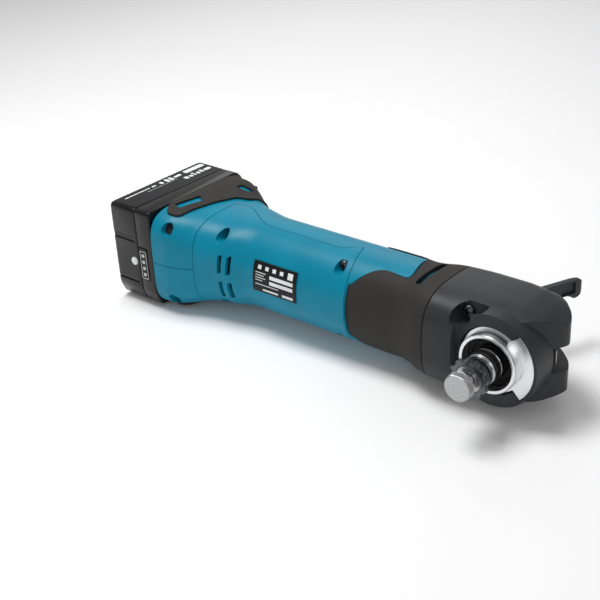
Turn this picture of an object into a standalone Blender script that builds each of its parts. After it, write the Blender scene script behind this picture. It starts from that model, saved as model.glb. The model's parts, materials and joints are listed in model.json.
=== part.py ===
"""Cordless oscillating multi tool, lying on its left side, with its clamp lever open.

Sizes below are millimetres in the tool's own directions, and every shape function turns them to metres:
X runs forward along the barrel from the battery to the head, with 0 on the spindle's axis;
Y runs from the spindle's tip (low) to the lever's side (high), with 0 on the motor's axis;
Z runs from the left side, which lies down, to the right side, with 0 on the plane of symmetry.
At the end an empty carries the whole tool to its frame: the centre of its box's bottom face.
"""

import math

import bmesh
import bpy
from mathutils import Matrix, Vector

MM = 0.001
GAP = 0.3

# Barrel and housing: X, reach towards -Y, reach towards +Y, half width in Z, squareness of the section
BODY_SECTIONS = [
    (-269.0, 49.5, 50.0, 37.5, 5.0),
    (-256.0, 49.0, 49.5, 37.2, 4.6),
    (-245.0, 45.5, 45.0, 35.4, 3.8),
    (-236.0, 41.5, 39.5, 33.6, 3.2),
    (-224.0, 38.5, 35.2, 32.8, 2.7),
    (-210.0, 37.5, 33.2, 32.5, 2.4),
    (-203.0, 34.2, 32.6, 32.3, 2.25),
    (-196.0, 32.6, 32.4, 32.2, 2.15),
    (-108.0, 32.0, 32.3, 32.1, 2.15),
    (-60.0, 32.0, 32.3, 32.1, 2.15),
]
WALL = 3.0
SLEEVE = (27.2, 28.9, 28.7, 2.1)
SLEEVE_WALL = 2.9
BARREL_END = -108.6
SLEEVE_END = -60.0

# Underside motor cover and its screws, in side view
COVER_OUTLINE = [
    (-236.0, -70), (-236.0, 6), (-232.0, 9), (-222.0, 9), (-203.0, -3), (-196.0, -6.5),
    (-128.0, -6.5), (-117.0, 3), (-112.5, -14), (-109.4, -30), (-109.0, -70),
]
COVER_SCREWS_X = (-218.0, -119.5)
COVER_SCREW_Z = 25.5
SCREW_SEAT_Y = -15.0

# Soft front grip, in the same form as the body sections, and the window of the painted tongue
GRIP_SECTIONS = [
    (-108.3, 30.6, 32.8, 32.5, 2.2),
    (-100.0, 30.4, 32.8, 32.4, 2.3),
    (-80.0, 30.2, 32.4, 32.0, 2.4),
    (-71.0, 30.0, 31.2, 31.0, 2.5),
    (-63.0, 31.6, 31.8, 31.4, 2.6),
    (-54.0, 35.0, 33.4, 32.2, 2.9),
    (-45.3, 36.2, 34.2, 32.6, 3.0),
]
TONGUE_OUTLINE = [
    (-125.0, -26), (-107.0, -26), (-94.0, -15.5), (-87.0, -13), (-71.0, -14), (-69.0, -11),
    (-75.5, 17), (-125.0, 17),
]
VENT_SLOT = [(-63.2, -17), (-58.6, -17), (-57.6, 14), (-62.2, 14)]

# Gear head
HEAD_SECTIONS = [
    (-44.7, 36.2, 34.2, 32.6, 3.0),
    (-30.0, 36.6, 35.6, 32.8, 3.0),
    (-5.0, 34.6, 35.8, 32.6, 3.0),
    (10.0, 33.0, 35.0, 31.6, 2.9),
    (24.0, 33.0, 34.0, 28.6, 2.7),
    (40.0, 33.0, 33.0, 21.0, 2.5),
]
HEAD_OUTLINE = [
    (-60, -50), (-24.5, -50), (-23.5, -31), (0, -31), (14, -22), (24, -13), (31, -7), (34.6, -1), (35, 3),
    (31, 10.5), (21, 20.5), (9, 28.5), (-4, 34), (-20, 40), (-60, 40),
]
NOSE_RADIUS = 30.8
NOSE_Y = (-31.4, -6.0)
LEVER_SLOT_HALF = 8.6
LEVER_SLOT_OUTLINE = [
    (-42.6, 13.2), (-2, 13.2), (10, 11.4), (21, 7.6), (25.5, -9), (60, -9), (60, 60), (-42.6, 60),
]
LEVER_CHANNEL_Y = 30.9
HEAD_SCREW = (-21.5, -19.0, 24.0)

# Spindle line
RING_FACE_Y = -34.0
RING_RADIUS = 19.6
RING_BORE = 17.2
FLANGE_FACE_Y = -54.0
FLANGE_RADIUS = 12.9
FLANGE_TEETH = 12
BOLT_FACE_Y = -66.3
BOLT_RADIUS = 8.9
BOLT_HEAD = 5.7
SHANK_RADIUS = 4.0

# Lever: pivot, length and the angle that it stands open at, from the forward direction
LEVER_PIVOT = (-34.5, 27.0)
LEVER_HALF = 7.3
LEVER_ANGLE = 66.8
LEVER_HUB = 6.5

# Slide switch: its middle when off, and how far it runs forward
SWITCH_X = -137.0
SWITCH_TRAVEL = 6.0

# Rocker that takes the lever's push to the clamp rod, and its travel with the lever
ROCKER_PIVOT = (-14.0, 18.6)
ROD_TOP = 16.0

# Motor on the X axis
STATOR = (-178.0, -132.0, 14.0, 24.0)
ECCENTRICITY = 1.06

# Battery pack: corners of the case, split between tray and lid, rail block
PACK_LOW = (-310.0, -48.5, -37.5)
PACK_HIGH = (-270.3, 51.5, 37.5)
PACK_SPLIT = -285.0
PACK_WALL = 1.6
CELL_RADIUS = 9.0
CELL_PITCH = 18.3
CELL_ROWS_X = (-299.3, -281.1)
CELL_FIRST_Y = -34.3
RAIL_NECK = (-264.8, 22.0)
RAIL_HEAD = (-255.2, 27.0)
RAIL_Y = (-40.0, 51.0)
FRAME_X = (-268.6, -251.0)

for old in list(bpy.data.objects):
    bpy.data.objects.remove(old)

parts = bpy.data.collections.new("oscillating_multi_tool")
cutters = bpy.data.collections.new("cutters")
cutters.hide_render = True
bpy.context.scene.collection.children.link(parts)
bpy.context.scene.collection.children.link(cutters)


# ---- materials -------------------------------------------------------------------------------------------


def finish(name, hex_colour, roughness, metallic=0.0):
    """A Principled material from an sRGB hex colour."""
    channels = [int(hex_colour[i : i + 2], 16) / 255 for i in (0, 2, 4)]
    linear = [c / 12.92 if c <= 0.04045 else ((c + 0.055) / 1.055) ** 2.4 for c in channels]
    made = bpy.data.materials.new(name)
    made.use_nodes = True
    shader = made.node_tree.nodes["Principled BSDF"]
    shader.inputs["Base Color"].default_value = (*linear, 1)
    shader.inputs["Roughness"].default_value = roughness
    shader.inputs["Metallic"].default_value = metallic
    made.diffuse_color = (*linear, 1)
    return made


PAINTED = finish("blue_green_nylon", "0A8199", 0.42)
CHARCOAL = finish("charcoal_nylon", "3E3E3F", 0.5)
RUBBER = finish("grip_rubber", "4A4541", 0.72)
PACK_BLACK = finish("battery_black", "242425", 0.3)
INNER_BLACK = finish("inner_plastic", "2E2E30", 0.55)
BRIGHT = finish("machined_aluminium", "DADBDC", 0.3, 1.0)
STEEL = finish("ground_steel", "9C9C9E", 0.28, 1.0)
DARK_STEEL = finish("blackened_steel", "3A3A3C", 0.4, 1.0)
CAST = finish("cast_aluminium", "A9ABAD", 0.5, 1.0)
COPPER = finish("copper_wire", "B0673A", 0.35, 1.0)
LAMINATION = finish("lamination_steel", "7B7D80", 0.45, 1.0)
BOARD = finish("circuit_board", "1F5A3A", 0.5)
CELL_WRAP = finish("cell_wrap", "3D7F6A", 0.4)
WHITE = finish("white_plastic", "E4E4E0", 0.4)
LABEL = finish("label_film", "1E1E1E", 0.35)
SEAL = finish("black_seal_rubber", "191919", 0.8)


# ---- shapes ----------------------------------------------------------------------------------------------


def node(name, mesh, material, cutter=False):
    """An object of this mesh: a part of the tool, or a hidden cutter when it has no material."""
    made = bpy.data.objects.new(name, mesh)
    if cutter or material is None:
        cutters.objects.link(made)
        made.hide_render = True
        made.display_type = "WIRE"
    else:
        parts.objects.link(made)
        made.data.materials.append(material)
    return made


def box(name, low, high, material=None, bevel=0.0):
    """A block between two corners."""
    mesh = bpy.data.meshes.new(name)
    shape = bmesh.new()
    bmesh.ops.create_cube(shape, size=1.0)
    size = [(b - a) * MM for a, b in zip(low, high)]
    middle = [(a + b) / 2 * MM for a, b in zip(low, high)]
    bmesh.ops.scale(shape, vec=size, verts=shape.verts)
    bmesh.ops.translate(shape, vec=middle, verts=shape.verts)
    shape.to_mesh(mesh)
    shape.free()
    made = node(name, mesh, material)
    if bevel:
        edges = made.modifiers.new("edges", "BEVEL")
        edges.width = bevel * MM
        edges.segments = 2
    return made


def cylinder(name, axis, centre, radius, start, end, material=None, sides=20, end_radius=None):
    """A round bar or cone along "X", "Y" or "Z" between two stations. centre gives the other two coordinates."""
    mesh = bpy.data.meshes.new(name)
    shape = bmesh.new()
    bmesh.ops.create_cone(
        shape,
        cap_ends=True,
        segments=sides,
        radius1=radius * MM,
        radius2=(radius if end_radius is None else end_radius) * MM,
        depth=(end - start) * MM,
    )
    bmesh.ops.translate(shape, vec=(0, 0, (start + end) / 2 * MM), verts=shape.verts)
    bmesh.ops.transform(shape, matrix=turned_to(axis, centre), verts=shape.verts)
    shape.to_mesh(mesh)
    shape.free()
    mesh.shade_smooth()
    mesh.set_sharp_from_angle(angle=math.radians(35))
    return node(name, mesh, material)


def turned_to(axis, centre):
    """The matrix that takes a shape made along local Z to this axis of the tool."""
    a, b = centre[0] * MM, centre[1] * MM
    if axis == "X":
        return Matrix.Translation((0, a, b)) @ Matrix.Rotation(math.radians(90), 4, "Y")
    if axis == "Y":
        return Matrix.Translation((a, 0, b)) @ Matrix.Rotation(math.radians(-90), 4, "X")
    return Matrix.Translation((a, b, 0))


def turned(name, axis, profile, material=None, centre=(0, 0), steps=20):
    """A lathe shape: (radius, station) points, going down the outer side; a ring's outline closes on itself."""
    mesh = bpy.data.meshes.new(name)
    ring = min(r for r, _ in profile) > 0
    edges = [(i, i + 1) for i in range(len(profile) - 1)]
    if ring:
        edges.append((len(profile) - 1, 0))
    mesh.from_pydata([(r * MM, 0, s * MM) for r, s in profile], edges, [])
    made = node(name, mesh, material)
    screw = made.modifiers.new("lathe", "SCREW")
    screw.steps = screw.render_steps = steps
    screw.use_merge_vertices = True
    screw.merge_threshold = 1e-6
    screw.use_smooth_shade = False
    made.matrix_world = turned_to(axis, centre)
    return made


def ring(name, axis, inner, outer, start, end, material=None, centre=(0, 0), steps=20):
    """A plain tube between two stations."""
    return turned(name, axis, [(outer, end), (outer, start), (inner, start), (inner, end)], material, centre, steps)


def ball_bearing(name, axis, inner, outer, start, end, centre=(0, 0)):
    """A bearing as one solid: its two races stand slightly proud of the shield between them."""
    third = (outer - inner) * 0.28
    step = 0.5
    outline = [
        (outer, end), (outer, start), (outer - third, start), (outer - third, start + step),
        (inner + third, start + step), (inner + third, start), (inner, start), (inner, end),
        (inner + third, end), (inner + third, end - step), (outer - third, end - step), (outer - third, end),
    ]
    return turned(name, axis, outline, STEEL, centre, 12)


def prism(name, outline, low, high, material=None, axis="Z"):
    """A filled 2D outline extruded from low to high along an axis.

    The outline's points are (x, y) for Z, (y, z) for X and (x, z) for Y.
    """
    curve = bpy.data.curves.new(name, "CURVE")
    curve.dimensions = "2D"
    curve.fill_mode = "BOTH"
    curve.extrude = (high - low) / 2 * MM
    line = curve.splines.new("POLY")
    line.points.add(len(outline) - 1)
    for point, (across, up) in zip(line.points, outline):
        point.co = (across * MM, up * MM, 0, 1)
    line.use_cyclic_u = True
    drawn = bpy.data.objects.new(name, curve)
    bpy.context.scene.collection.objects.link(drawn)
    graph = bpy.context.evaluated_depsgraph_get()
    mesh = bpy.data.meshes.new_from_object(drawn.evaluated_get(graph))
    bpy.data.objects.remove(drawn)
    bpy.data.curves.remove(curve)
    mesh.name = name
    middle = (low + high) / 2 * MM
    places = {
        "X": Matrix(((0, 0, 1, middle), (1, 0, 0, 0), (0, 1, 0, 0), (0, 0, 0, 1))),
        "Y": Matrix(((1, 0, 0, 0), (0, 0, 1, middle), (0, 1, 0, 0), (0, 0, 0, 1))),
        "Z": Matrix.Translation((0, 0, middle)),
    }
    shape = bmesh.new()
    shape.from_mesh(mesh)
    bmesh.ops.remove_doubles(shape, verts=shape.verts, dist=1e-6)
    bmesh.ops.transform(shape, matrix=places[axis], verts=shape.verts)
    bmesh.ops.recalc_face_normals(shape, faces=shape.faces)
    shape.to_mesh(mesh)
    shape.free()
    return node(name, mesh, material)


def section(station, sides, grow):
    """Points round a rounded section: each half is a superellipse, |y/a|^p + |z/b|^p = 1."""
    x, low, high, half, power = station
    points = []
    for i in range(sides):
        turn = 2 * math.pi * (i + 0.5) / sides
        c, s = math.cos(turn), math.sin(turn)
        reach = (high if c > 0 else low) + grow
        y = reach * math.copysign(abs(c) ** (2 / power), c)
        z = (half + grow) * math.copysign(abs(s) ** (2 / power), s)
        points.append((x * MM, y * MM, z * MM))
    return points


def loft(name, stations, material=None, grow=0.0, sides=28):
    """A solid skinned through unlike sections, each grown outwards by the same amount."""
    mesh = bpy.data.meshes.new(name)
    shape = bmesh.new()
    rings = [[shape.verts.new(p) for p in section(s, sides, grow)] for s in stations]
    for back, front in zip(rings, rings[1:]):
        for i in range(sides):
            j = (i + 1) % sides
            shape.faces.new((back[i], back[j], front[j], front[i]))
    shape.faces.new(rings[0][::-1])
    shape.faces.new(rings[-1])
    bmesh.ops.recalc_face_normals(shape, faces=shape.faces)
    shape.to_mesh(mesh)
    shape.free()
    mesh.shade_smooth()
    mesh.set_sharp_from_angle(angle=math.radians(35))
    return node(name, mesh, material)


def stations_between(stations, start, end):
    """The sections from start to end, with the end sections interpolated."""
    inside = [s for s in stations if start < s[0] < end]
    return [between(stations, start)] + inside + [between(stations, end)]


def between(stations, x):
    """The section at x, interpolated between its neighbours or carried on past the ends."""
    if x <= stations[0][0]:
        return (x, *stations[0][1:])
    for back, front in zip(stations, stations[1:]):
        if back[0] <= x <= front[0]:
            share = (x - back[0]) / (front[0] - back[0])
            return tuple(a + (b - a) * share for a, b in zip(back, front))
    return (x, *stations[-1][1:])


def grown(outline, amount):
    """The outline moved outwards by amount, for the clearance round a piece."""
    area = sum(a[0] * b[1] - b[0] * a[1] for a, b in zip(outline, outline[1:] + outline[:1]))
    sense = 1 if area > 0 else -1
    moved = []
    count = len(outline)
    for i in range(count):
        before, here, after = (Vector(outline[(i + k) % count]) for k in (-1, 0, 1))
        first = (here - before).normalized()
        second = (after - here).normalized()
        out = Vector((first.y + second.y, -first.x - second.x)) * sense
        out.normalize()
        stretch = max(0.35, out.dot(Vector((first.y, -first.x)) * sense))
        moved.append(tuple(here + out * (amount / stretch)))
    return moved


def combine(target, operation, *others):
    """Boolean steps that stay on the target; the other shapes become hidden cutters."""
    for other in others:
        step = target.modifiers.new(other.name, "BOOLEAN")
        step.operation = operation
        step.solver = "EXACT"
        step.object = other
        if other.name in parts.objects:
            parts.objects.unlink(other)
            cutters.objects.link(other)
        other.hide_render = True
        other.display_type = "WIRE"
    return target


def cut(target, *others):
    return combine(target, "DIFFERENCE", *others)


def join(target, *others):
    return combine(target, "UNION", *others)


def keep(target, *others):
    return combine(target, "INTERSECT", *others)


# ---- frame empties ---------------------------------------------------------------------------------------


def pivot(name, x, y, z, parent=None):
    """An empty on a joint's axis; the pieces that move with that joint are its children."""
    made = bpy.data.objects.new(name, None)
    parts.objects.link(made)
    made.location = (x * MM, y * MM, z * MM)
    if parent:
        made.parent = parent
        made.location = Vector(made.location) - parent.matrix_basis.translation
    return made


tool = pivot("tool_frame", 0, 0, 0)


def carry(empty, *pieces):
    """Parents the pieces to an empty without moving them."""
    bpy.context.view_layer.update()
    for piece in pieces:
        piece.parent = empty
        piece.matrix_parent_inverse = empty.matrix_world.inverted()


# ---- housings --------------------------------------------------------------------------------------------


def screw_bosses(name, low, high, radius):
    """The four posts that the cover's screws go through, and their names."""
    posts = []
    for x in COVER_SCREWS_X:
        for side in (1, -1):
            centre = (x, side * COVER_SCREW_Z)
            posts.append(cylinder(f"{name}_{x:.0f}_{side}", "Y", centre, radius, low, high, sides=10))
    return posts


def mouth(name, extra=0.0):
    """The opening on the lever's side that the pack's rail block leaves through."""
    return box(name, (-280, 20, -RAIL_HEAD[1] - 0.5 - extra), (RAIL_HEAD[0] + 0.5 + extra, 80, RAIL_HEAD[1] + 0.5 + extra))


def housing_half(name):
    """The right clamshell half: barrel wall, sleeve under the grip, tongue, screw posts and openings."""
    half = loft(name, stations_between(BODY_SECTIONS, -269.0, SLEEVE_END), PAINTED)
    around = box("around_sleeve", (BARREL_END, -70, -70), (SLEEVE_END + 10, 70, 70))
    cut(around, loft("sleeve_form", [(-120.0, *SLEEVE), (SLEEVE_END, *SLEEVE)]))
    cut(around, prism("tongue_form", TONGUE_OUTLINE, -60, 60))
    hollow = loft("barrel_hollow", stations_between(BODY_SECTIONS, -275.0, BARREL_END - 2.6), grow=-WALL)
    bore = loft("sleeve_bore", [(-118.0, *SLEEVE), (-50.0, *SLEEVE)], grow=-SLEEVE_WALL)
    cut(half, around, hollow, bore)
    limit = loft("post_limit", stations_between(BODY_SECTIONS, -262.0, BARREL_END - 0.5), grow=-0.6)
    for post in screw_bosses("post", SCREW_SEAT_Y + 9.2, 20.0, 4.6):
        keep(post, limit)
        join(half, post)
    cut(half, prism("cover_room", grown(COVER_OUTLINE, GAP), -60, 60))
    cut(half, *screw_bosses("post_hole", -40.0, 12.0, 1.9))
    cut(half, mouth("housing_mouth"))
    cut(half, box("dial_slot", (-238.6, 12, -4.8), (-213.4, 60, 4.8)))
    cut(half, box("stem_slot", (SWITCH_X - 3.3, 20, -3.4), (SWITCH_X + 3.3 + SWITCH_TRAVEL, 60, 3.4)))
    keep(half, box("right_side", (-330, -90, GAP / 2), (60, 90, 90)))
    return half


def other_hand(name, source):
    """The same shape for the other side: the evaluated mesh, mirrored across the plane of symmetry."""
    graph = bpy.context.evaluated_depsgraph_get()
    mesh = bpy.data.meshes.new_from_object(source.evaluated_get(graph))
    mesh.name = name
    mesh.transform(Matrix.Diagonal((1, 1, -1, 1)))
    mesh.flip_normals()
    material = mesh.materials[0]
    mesh.materials.clear()
    return node(name, mesh, material)


housing_right = housing_half("housing_right")
housing_left = other_hand("housing_left", housing_right)

motor_cover = loft("motor_cover", stations_between(BODY_SECTIONS, -269.0, BARREL_END), PAINTED)
cut(motor_cover, loft("cover_hollow", stations_between(BODY_SECTIONS, -275.0, BARREL_END - 2.6), grow=-WALL))
cover_limit = loft("cover_limit", stations_between(BODY_SECTIONS, -262.0, BARREL_END - 0.5), grow=-0.2)
for boss in screw_bosses("cover_boss", -40.0, SCREW_SEAT_Y + 8.6, 5.8):
    keep(boss, cover_limit)
    join(motor_cover, boss)
keep(motor_cover, prism("cover_outline", COVER_OUTLINE, -60, 60))
cut(motor_cover, *screw_bosses("counterbore", -60.0, SCREW_SEAT_Y, 3.9))
cut(motor_cover, *screw_bosses("cover_hole", -60.0, 12.0, 1.9))
for column, x in enumerate((-216.6, -209.6)):
    for row, z in enumerate((-11.2, 8.2)):
        vent_room = box(f"cover_vent_{column}_{row}", (x, -60, z - 7.0), (x + 3.4, -20, z + 7.0))
        cut(motor_cover, vent_room)

cover_screws = []
for number, (x, side) in enumerate([(x, s) for x in COVER_SCREWS_X for s in (1, -1)], 1):
    z = side * COVER_SCREW_Z
    head = SCREW_SEAT_Y - GAP
    outline = [(0.01, head + 11.5), (1.55, head + 10.5), (1.55, head), (3.3, head), (3.3, head - 1.6)]
    outline += [(2.4, head - 2.4), (1.3, head - 2.4), (1.3, head - 1.2), (0.01, head - 1.2)]
    outline = [(0.0 if r < 0.1 else r, s) for r, s in outline]
    cover_screws.append(turned(f"cover_screw_{number}", "Y", outline, DARK_STEEL, (x, z), 10))

nameplate = loft("nameplate", stations_between(BODY_SECTIONS, -187.0, -149.0), LABEL, grow=0.75)
cut(nameplate, loft("nameplate_back", stations_between(BODY_SECTIONS, -190.0, -146.0), grow=0.3))
keep(nameplate, box("nameplate_room", (-187.5, -60, -5.0), (-148.5, -10, 17.0)))

BUMPER_OUTLINE = [
    (-268.4, -28), (-262.0, -38), (-252.0, -36), (-245.5, -4), (-240.0, 13), (-232.5, 18), (-232.5, 70),
    (-268.4, 70),
]
rear_bumper = loft("rear_bumper", stations_between(BODY_SECTIONS, -268.4, -230.0), RUBBER, grow=1.7)
cut(rear_bumper, loft("bumper_back", stations_between(BODY_SECTIONS, -275.0, -225.0), grow=GAP))
keep(rear_bumper, prism("bumper_outline", BUMPER_OUTLINE, -60, 60))
cut(rear_bumper, mouth("bumper_mouth", 1.0))
cut(rear_bumper, box("bumper_dial_room", (-240.5, 10, -8), (-200, 80, 8)))
WINDOW_NEAR = [(-264.5, -27), (-257.5, -29), (-252.5, -10), (-259.5, -6)]
WINDOW_FAR = [(-251.0, 23), (-241.5, 26), (-241.5, 33), (-251.0, 30)]
cut(rear_bumper, prism("bumper_window_near", WINDOW_NEAR, -60, 60))
cut(rear_bumper, prism("bumper_window_far", WINDOW_FAR, -60, 60))

top_grip = loft("top_grip", stations_between(BODY_SECTIONS, -208.0, -109.2), RUBBER, grow=1.6)
cut(top_grip, loft("top_grip_back", stations_between(BODY_SECTIONS, -215.0, -100.0), grow=GAP))
TOP_GRIP_PLAN = [(-208, -7), (-200, -13), (-118, -15), (-109.2, -16), (-109.2, 16), (-118, 15), (-200, 13), (-208, 7)]
keep(top_grip, prism("top_grip_plan", TOP_GRIP_PLAN, 5, 60, axis="Y"))
cut(top_grip, box("switch_window", (SWITCH_X - 8.5, 20, -7.2), (SWITCH_X + 8.5 + SWITCH_TRAVEL, 60, 7.2)))

front_grip = loft("front_grip", GRIP_SECTIONS, RUBBER)
grip_bore = loft("grip_bore", [(-120.0, *SLEEVE), (-50.0, *SLEEVE)], grow=GAP)
grip_room = loft("grip_room", [(-61.5, 28.0, 29.2, 28.6, 2.3), (-40.0, 32.2, 30.2, 28.9, 2.8)])
cut(front_grip, grip_bore, grip_room)
cut(front_grip, prism("grip_tongue_room", grown(TONGUE_OUTLINE, GAP), -60, 60))
for side in (1, -1):
    low, high = sorted((side * 18, side * 60))
    cut(front_grip, prism(f"vent_slot_{side}", VENT_SLOT, low, high))
cut(front_grip, box("grip_channel", (-70, LEVER_CHANNEL_Y, -LEVER_SLOT_HALF), (-30, 60, LEVER_SLOT_HALF)))


# ---- gear head -------------------------------------------------------------------------------------------

head_cover = loft("head_cover", HEAD_SECTIONS, CHARCOAL, sides=32)
keep(head_cover, prism("head_outline", HEAD_OUTLINE, -60, 60))
nose = cylinder("nose", "Y", (0, 0), NOSE_RADIUS, NOSE_Y[0], NOSE_Y[1], sides=40)
join(head_cover, nose)
cut(head_cover, prism("lever_slot", LEVER_SLOT_OUTLINE, -LEVER_SLOT_HALF, LEVER_SLOT_HALF))
cut(head_cover, box("head_channel", (-60, LEVER_CHANNEL_Y, -LEVER_SLOT_HALF), (-30, 60, LEVER_SLOT_HALF)))
cut(head_cover, box("gear_room", (-60, -16.0, -24.5), (0, 11.3, 24.5)))
cut(head_cover, cylinder("gear_room_round", "Y", (0, 0), 20.0, -60, 10.0, sides=28))
cut(head_cover, cylinder("collar_room", "Y", (0, 0), 22.2, -60, -20.0, sides=32))
LOBE_ARC = [math.radians(a) for a in range(-56, 67, 6)]
LOBE_OUTLINE = [(12, -12), *[(28.6 * math.cos(a), 28.6 * math.sin(a)) for a in LOBE_ARC], (8, 14)]
cut(head_cover, prism("lobe_room", grown(LOBE_OUTLINE, 0.5), -60, -23.4, axis="Y"))
for side in (1, -1):
    x, y, z = HEAD_SCREW
    cut(head_cover, cylinder(f"screw_pocket_{side}", "Y", (x, side * z), 6.4, -60, y, sides=16))
    slot_low, slot_high = sorted((side * 20.5, side * 60))
    cut(head_cover, box(f"screw_slot_{side}", (x, y - 9, slot_low), (x + 14, y, slot_high)))
    cut(head_cover, cylinder(f"screw_way_{side}", "Y", (x, side * z), 2.2, -60, 12, sides=8))
cut(head_cover, cylinder("lever_pin_hole", "Z", LEVER_PIVOT, 2.8, -24.5, 24.5, sides=12))

head_screws = []
for number, side in enumerate((1, -1), 1):
    x, y, z = HEAD_SCREW
    seat = y - GAP
    outline = [(0.0, seat + 16), (1.9, seat + 15), (1.9, seat), (4.2, seat), (4.2, seat - 1.8), (3.2, seat - 3)]
    outline += [(1.5, seat - 3), (1.5, seat - 1.4), (0.0, seat - 1.4)]
    head_screws.append(turned(f"head_screw_{number}", "Y", outline, DARK_STEEL, (x, side * z), 14))

gear_housing = cylinder("gear_housing", "Y", (0, 0), 19.4, -13.4, 9.4, CAST, sides=28)
join(gear_housing, box("gearcase_block", (-56, -13.4, -20.5), (-4, 10.7, 20.5)))
join(gear_housing, cylinder("gearcase_plate", "X", (0, 0), 27.4, -58.0, -51.0, sides=28))
cut(gear_housing, box("gearcase_room", (-50.5, -10.6, -17.6), (-2, 8.6, 17.6)))
cut(gear_housing, cylinder("gearcase_round_room", "Y", (0, 0), 16.2, -20, 3.2, sides=24))
cut(gear_housing, cylinder("upper_seat", "Y", (0, 0), 11.3, -10, 9.2, sides=20))
cut(gear_housing, cylinder("front_seat", "X", (0, 0), 11.3, -70, -50.6, sides=20))
cut(gear_housing, cylinder("front_seat_floor", "X", (0, 0), 8.8, -70, -40, sides=16))
for side in (1, -1):
    cut(gear_housing, cylinder(f"gearcase_screw_way_{side}", "Y", (HEAD_SCREW[0], side * HEAD_SCREW[2]), 4.6, -60, 30, sides=12))

bearing_box = turned(
    "bearing_box", "Y",
    [
        (15.9, -13.8), (15.9, -20.5), (21.6, -20.5), (21.6, -26.5), (RING_RADIUS, -26.5),
        (RING_RADIUS, RING_FACE_Y + 0.6), (RING_RADIUS - 0.6, RING_FACE_Y), (RING_BORE + 0.4, RING_FACE_Y),
        (RING_BORE, RING_FACE_Y + 0.4), (RING_BORE, -23.0), (13.6, -23.0), (13.6, -22.4), (15.0, -22.4), (15.0, -13.8),
    ],
    BRIGHT, steps=28,
)
lobe = prism("lobe", LOBE_OUTLINE, -28.0, -24.0, axis="Y")
cut(lobe, cylinder("lobe_bore", "Y", (0, 0), 18.5, -60, 20, sides=24))
join(bearing_box, lobe)

dust_seal = ring("dust_seal", "Y", 10.9, 16.8, -26.5, -23.4, SEAL, steps=24)
spindle_bearing_lower = ball_bearing("spindle_bearing_lower", "Y", 8.3, 14.7, -22.0, -14.0)
spindle_bearing_upper = ball_bearing("spindle_bearing_upper", "Y", 7.3, 11.0, 3.4, 8.4)

SPINDLE_OUTLINE = [
    (4.4, 8.9), (7.0, 8.9), (7.0, 3.1), (9.5, 3.1), (9.5, -5.2), (10.4, -5.2), (10.4, -13.7), (8.0, -13.7),
    (8.0, -22.6), (10.4, -22.6), (10.4, -33.4), (9.1, -33.4), (9.1, -35.4), (10.2, -35.4), (10.2, -40.6),
    (9.3, -41.4), (9.3, -43.9), (8.5, -43.9), (8.5, -53.6), (4.4, -53.6),
]
spindle = turned("spindle", "Y", SPINDLE_OUTLINE, STEEL, steps=20)
spindle_o_ring = ring("spindle_o_ring", "Y", 9.4, 10.7, -35.1, -33.7, SEAL, steps=20)


def star(radius, root, teeth):
    """A toothed outline: each tooth is a flat tip and a flat root of equal share."""
    points = []
    for i in range(teeth * 4):
        turn = 2 * math.pi * (i + 0.5) / (teeth * 4)
        reach = radius if i % 4 < 2 else root
        points.append((reach * math.cos(turn), reach * math.sin(turn)))
    return points


clamp_flange = prism("clamp_flange", star(FLANGE_RADIUS, 11.3, FLANGE_TEETH), FLANGE_FACE_Y, -50.5, STEEL, axis="Y")
join(clamp_flange, cylinder("flange_cone", "Y", (0, 0), 11.9, -51.5, -44.3, sides=24, end_radius=10.2))
cut(clamp_flange, cylinder("flange_bore", "Y", (0, 0), 8.8, -60, -40, sides=20))

fork = cylinder("fork", "Y", (0, 0), 13.2, -4.6, 2.8, DARK_STEEL, sides=24)
join(fork, box("fork_arm", (-48, -4.2, -12.4), (-6, 2.4, 12.4)))
cut(fork, box("fork_gap", (-60, -20, -8.8), (-31, 20, 8.8)))
cut(fork, cylinder("fork_hole", "Y", (0, 0), 9.8, -20, 20, sides=20))

BOLT_BACK = BOLT_FACE_Y + BOLT_HEAD
holder_bolt = turned(
    "holder_bolt", "Y",
    [
        (0.0, -20.0), (SHANK_RADIUS - 0.6, -20.0), (SHANK_RADIUS, -21.0), (SHANK_RADIUS, BOLT_BACK + 1.4),
        (6.4, BOLT_BACK + 1.4), (7.4, BOLT_BACK), (BOLT_RADIUS, BOLT_BACK), (BOLT_RADIUS, BOLT_FACE_Y + 0.7),
        (BOLT_RADIUS - 0.7, BOLT_FACE_Y), (0.0, BOLT_FACE_Y),
    ],
    STEEL, steps=24,
)


def coil(name, axis, centre, radius, wire, start, end, turns, material, per_turn=8):
    """A helical spring: a poly line on a cylinder, given the wire's thickness."""
    curve = bpy.data.curves.new(name, "CURVE")
    curve.dimensions = "3D"
    curve.bevel_depth = wire / 2 * MM
    curve.bevel_resolution = 1
    curve.use_fill_caps = True
    line = curve.splines.new("POLY")
    count = turns * per_turn + 1
    line.points.add(count - 1)
    for i in range(count):
        turn = 2 * math.pi * i / per_turn
        height = start + (end - start) * i / (count - 1)
        point = (radius * math.cos(turn) * MM, radius * math.sin(turn) * MM, height * MM)
        line.points[i].co = (*(turned_to(axis, centre) @ Vector(point)), 1)
    made = bpy.data.objects.new(name, curve)
    parts.objects.link(made)
    curve.materials.append(material)
    return made


clamp_rod = cylinder("clamp_rod", "Y", (0, 0), 2.2, -12.0, ROD_TOP, STEEL, sides=12)
clamp_spring = coil("clamp_spring", "Y", (0, 0), 3.3, 1.0, -13.5, 7.6, 6, STEEL)


# ---- clamp lever -----------------------------------------------------------------------------------------


def lever_point(u, v):
    """A point of the open lever: u along the arm from the pivot, v towards its outer face."""
    a = math.radians(LEVER_ANGLE)
    return (
        LEVER_PIVOT[0] + u * math.cos(a) - v * math.sin(a),
        LEVER_PIVOT[1] + u * math.sin(a) + v * math.cos(a),
    )


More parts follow.
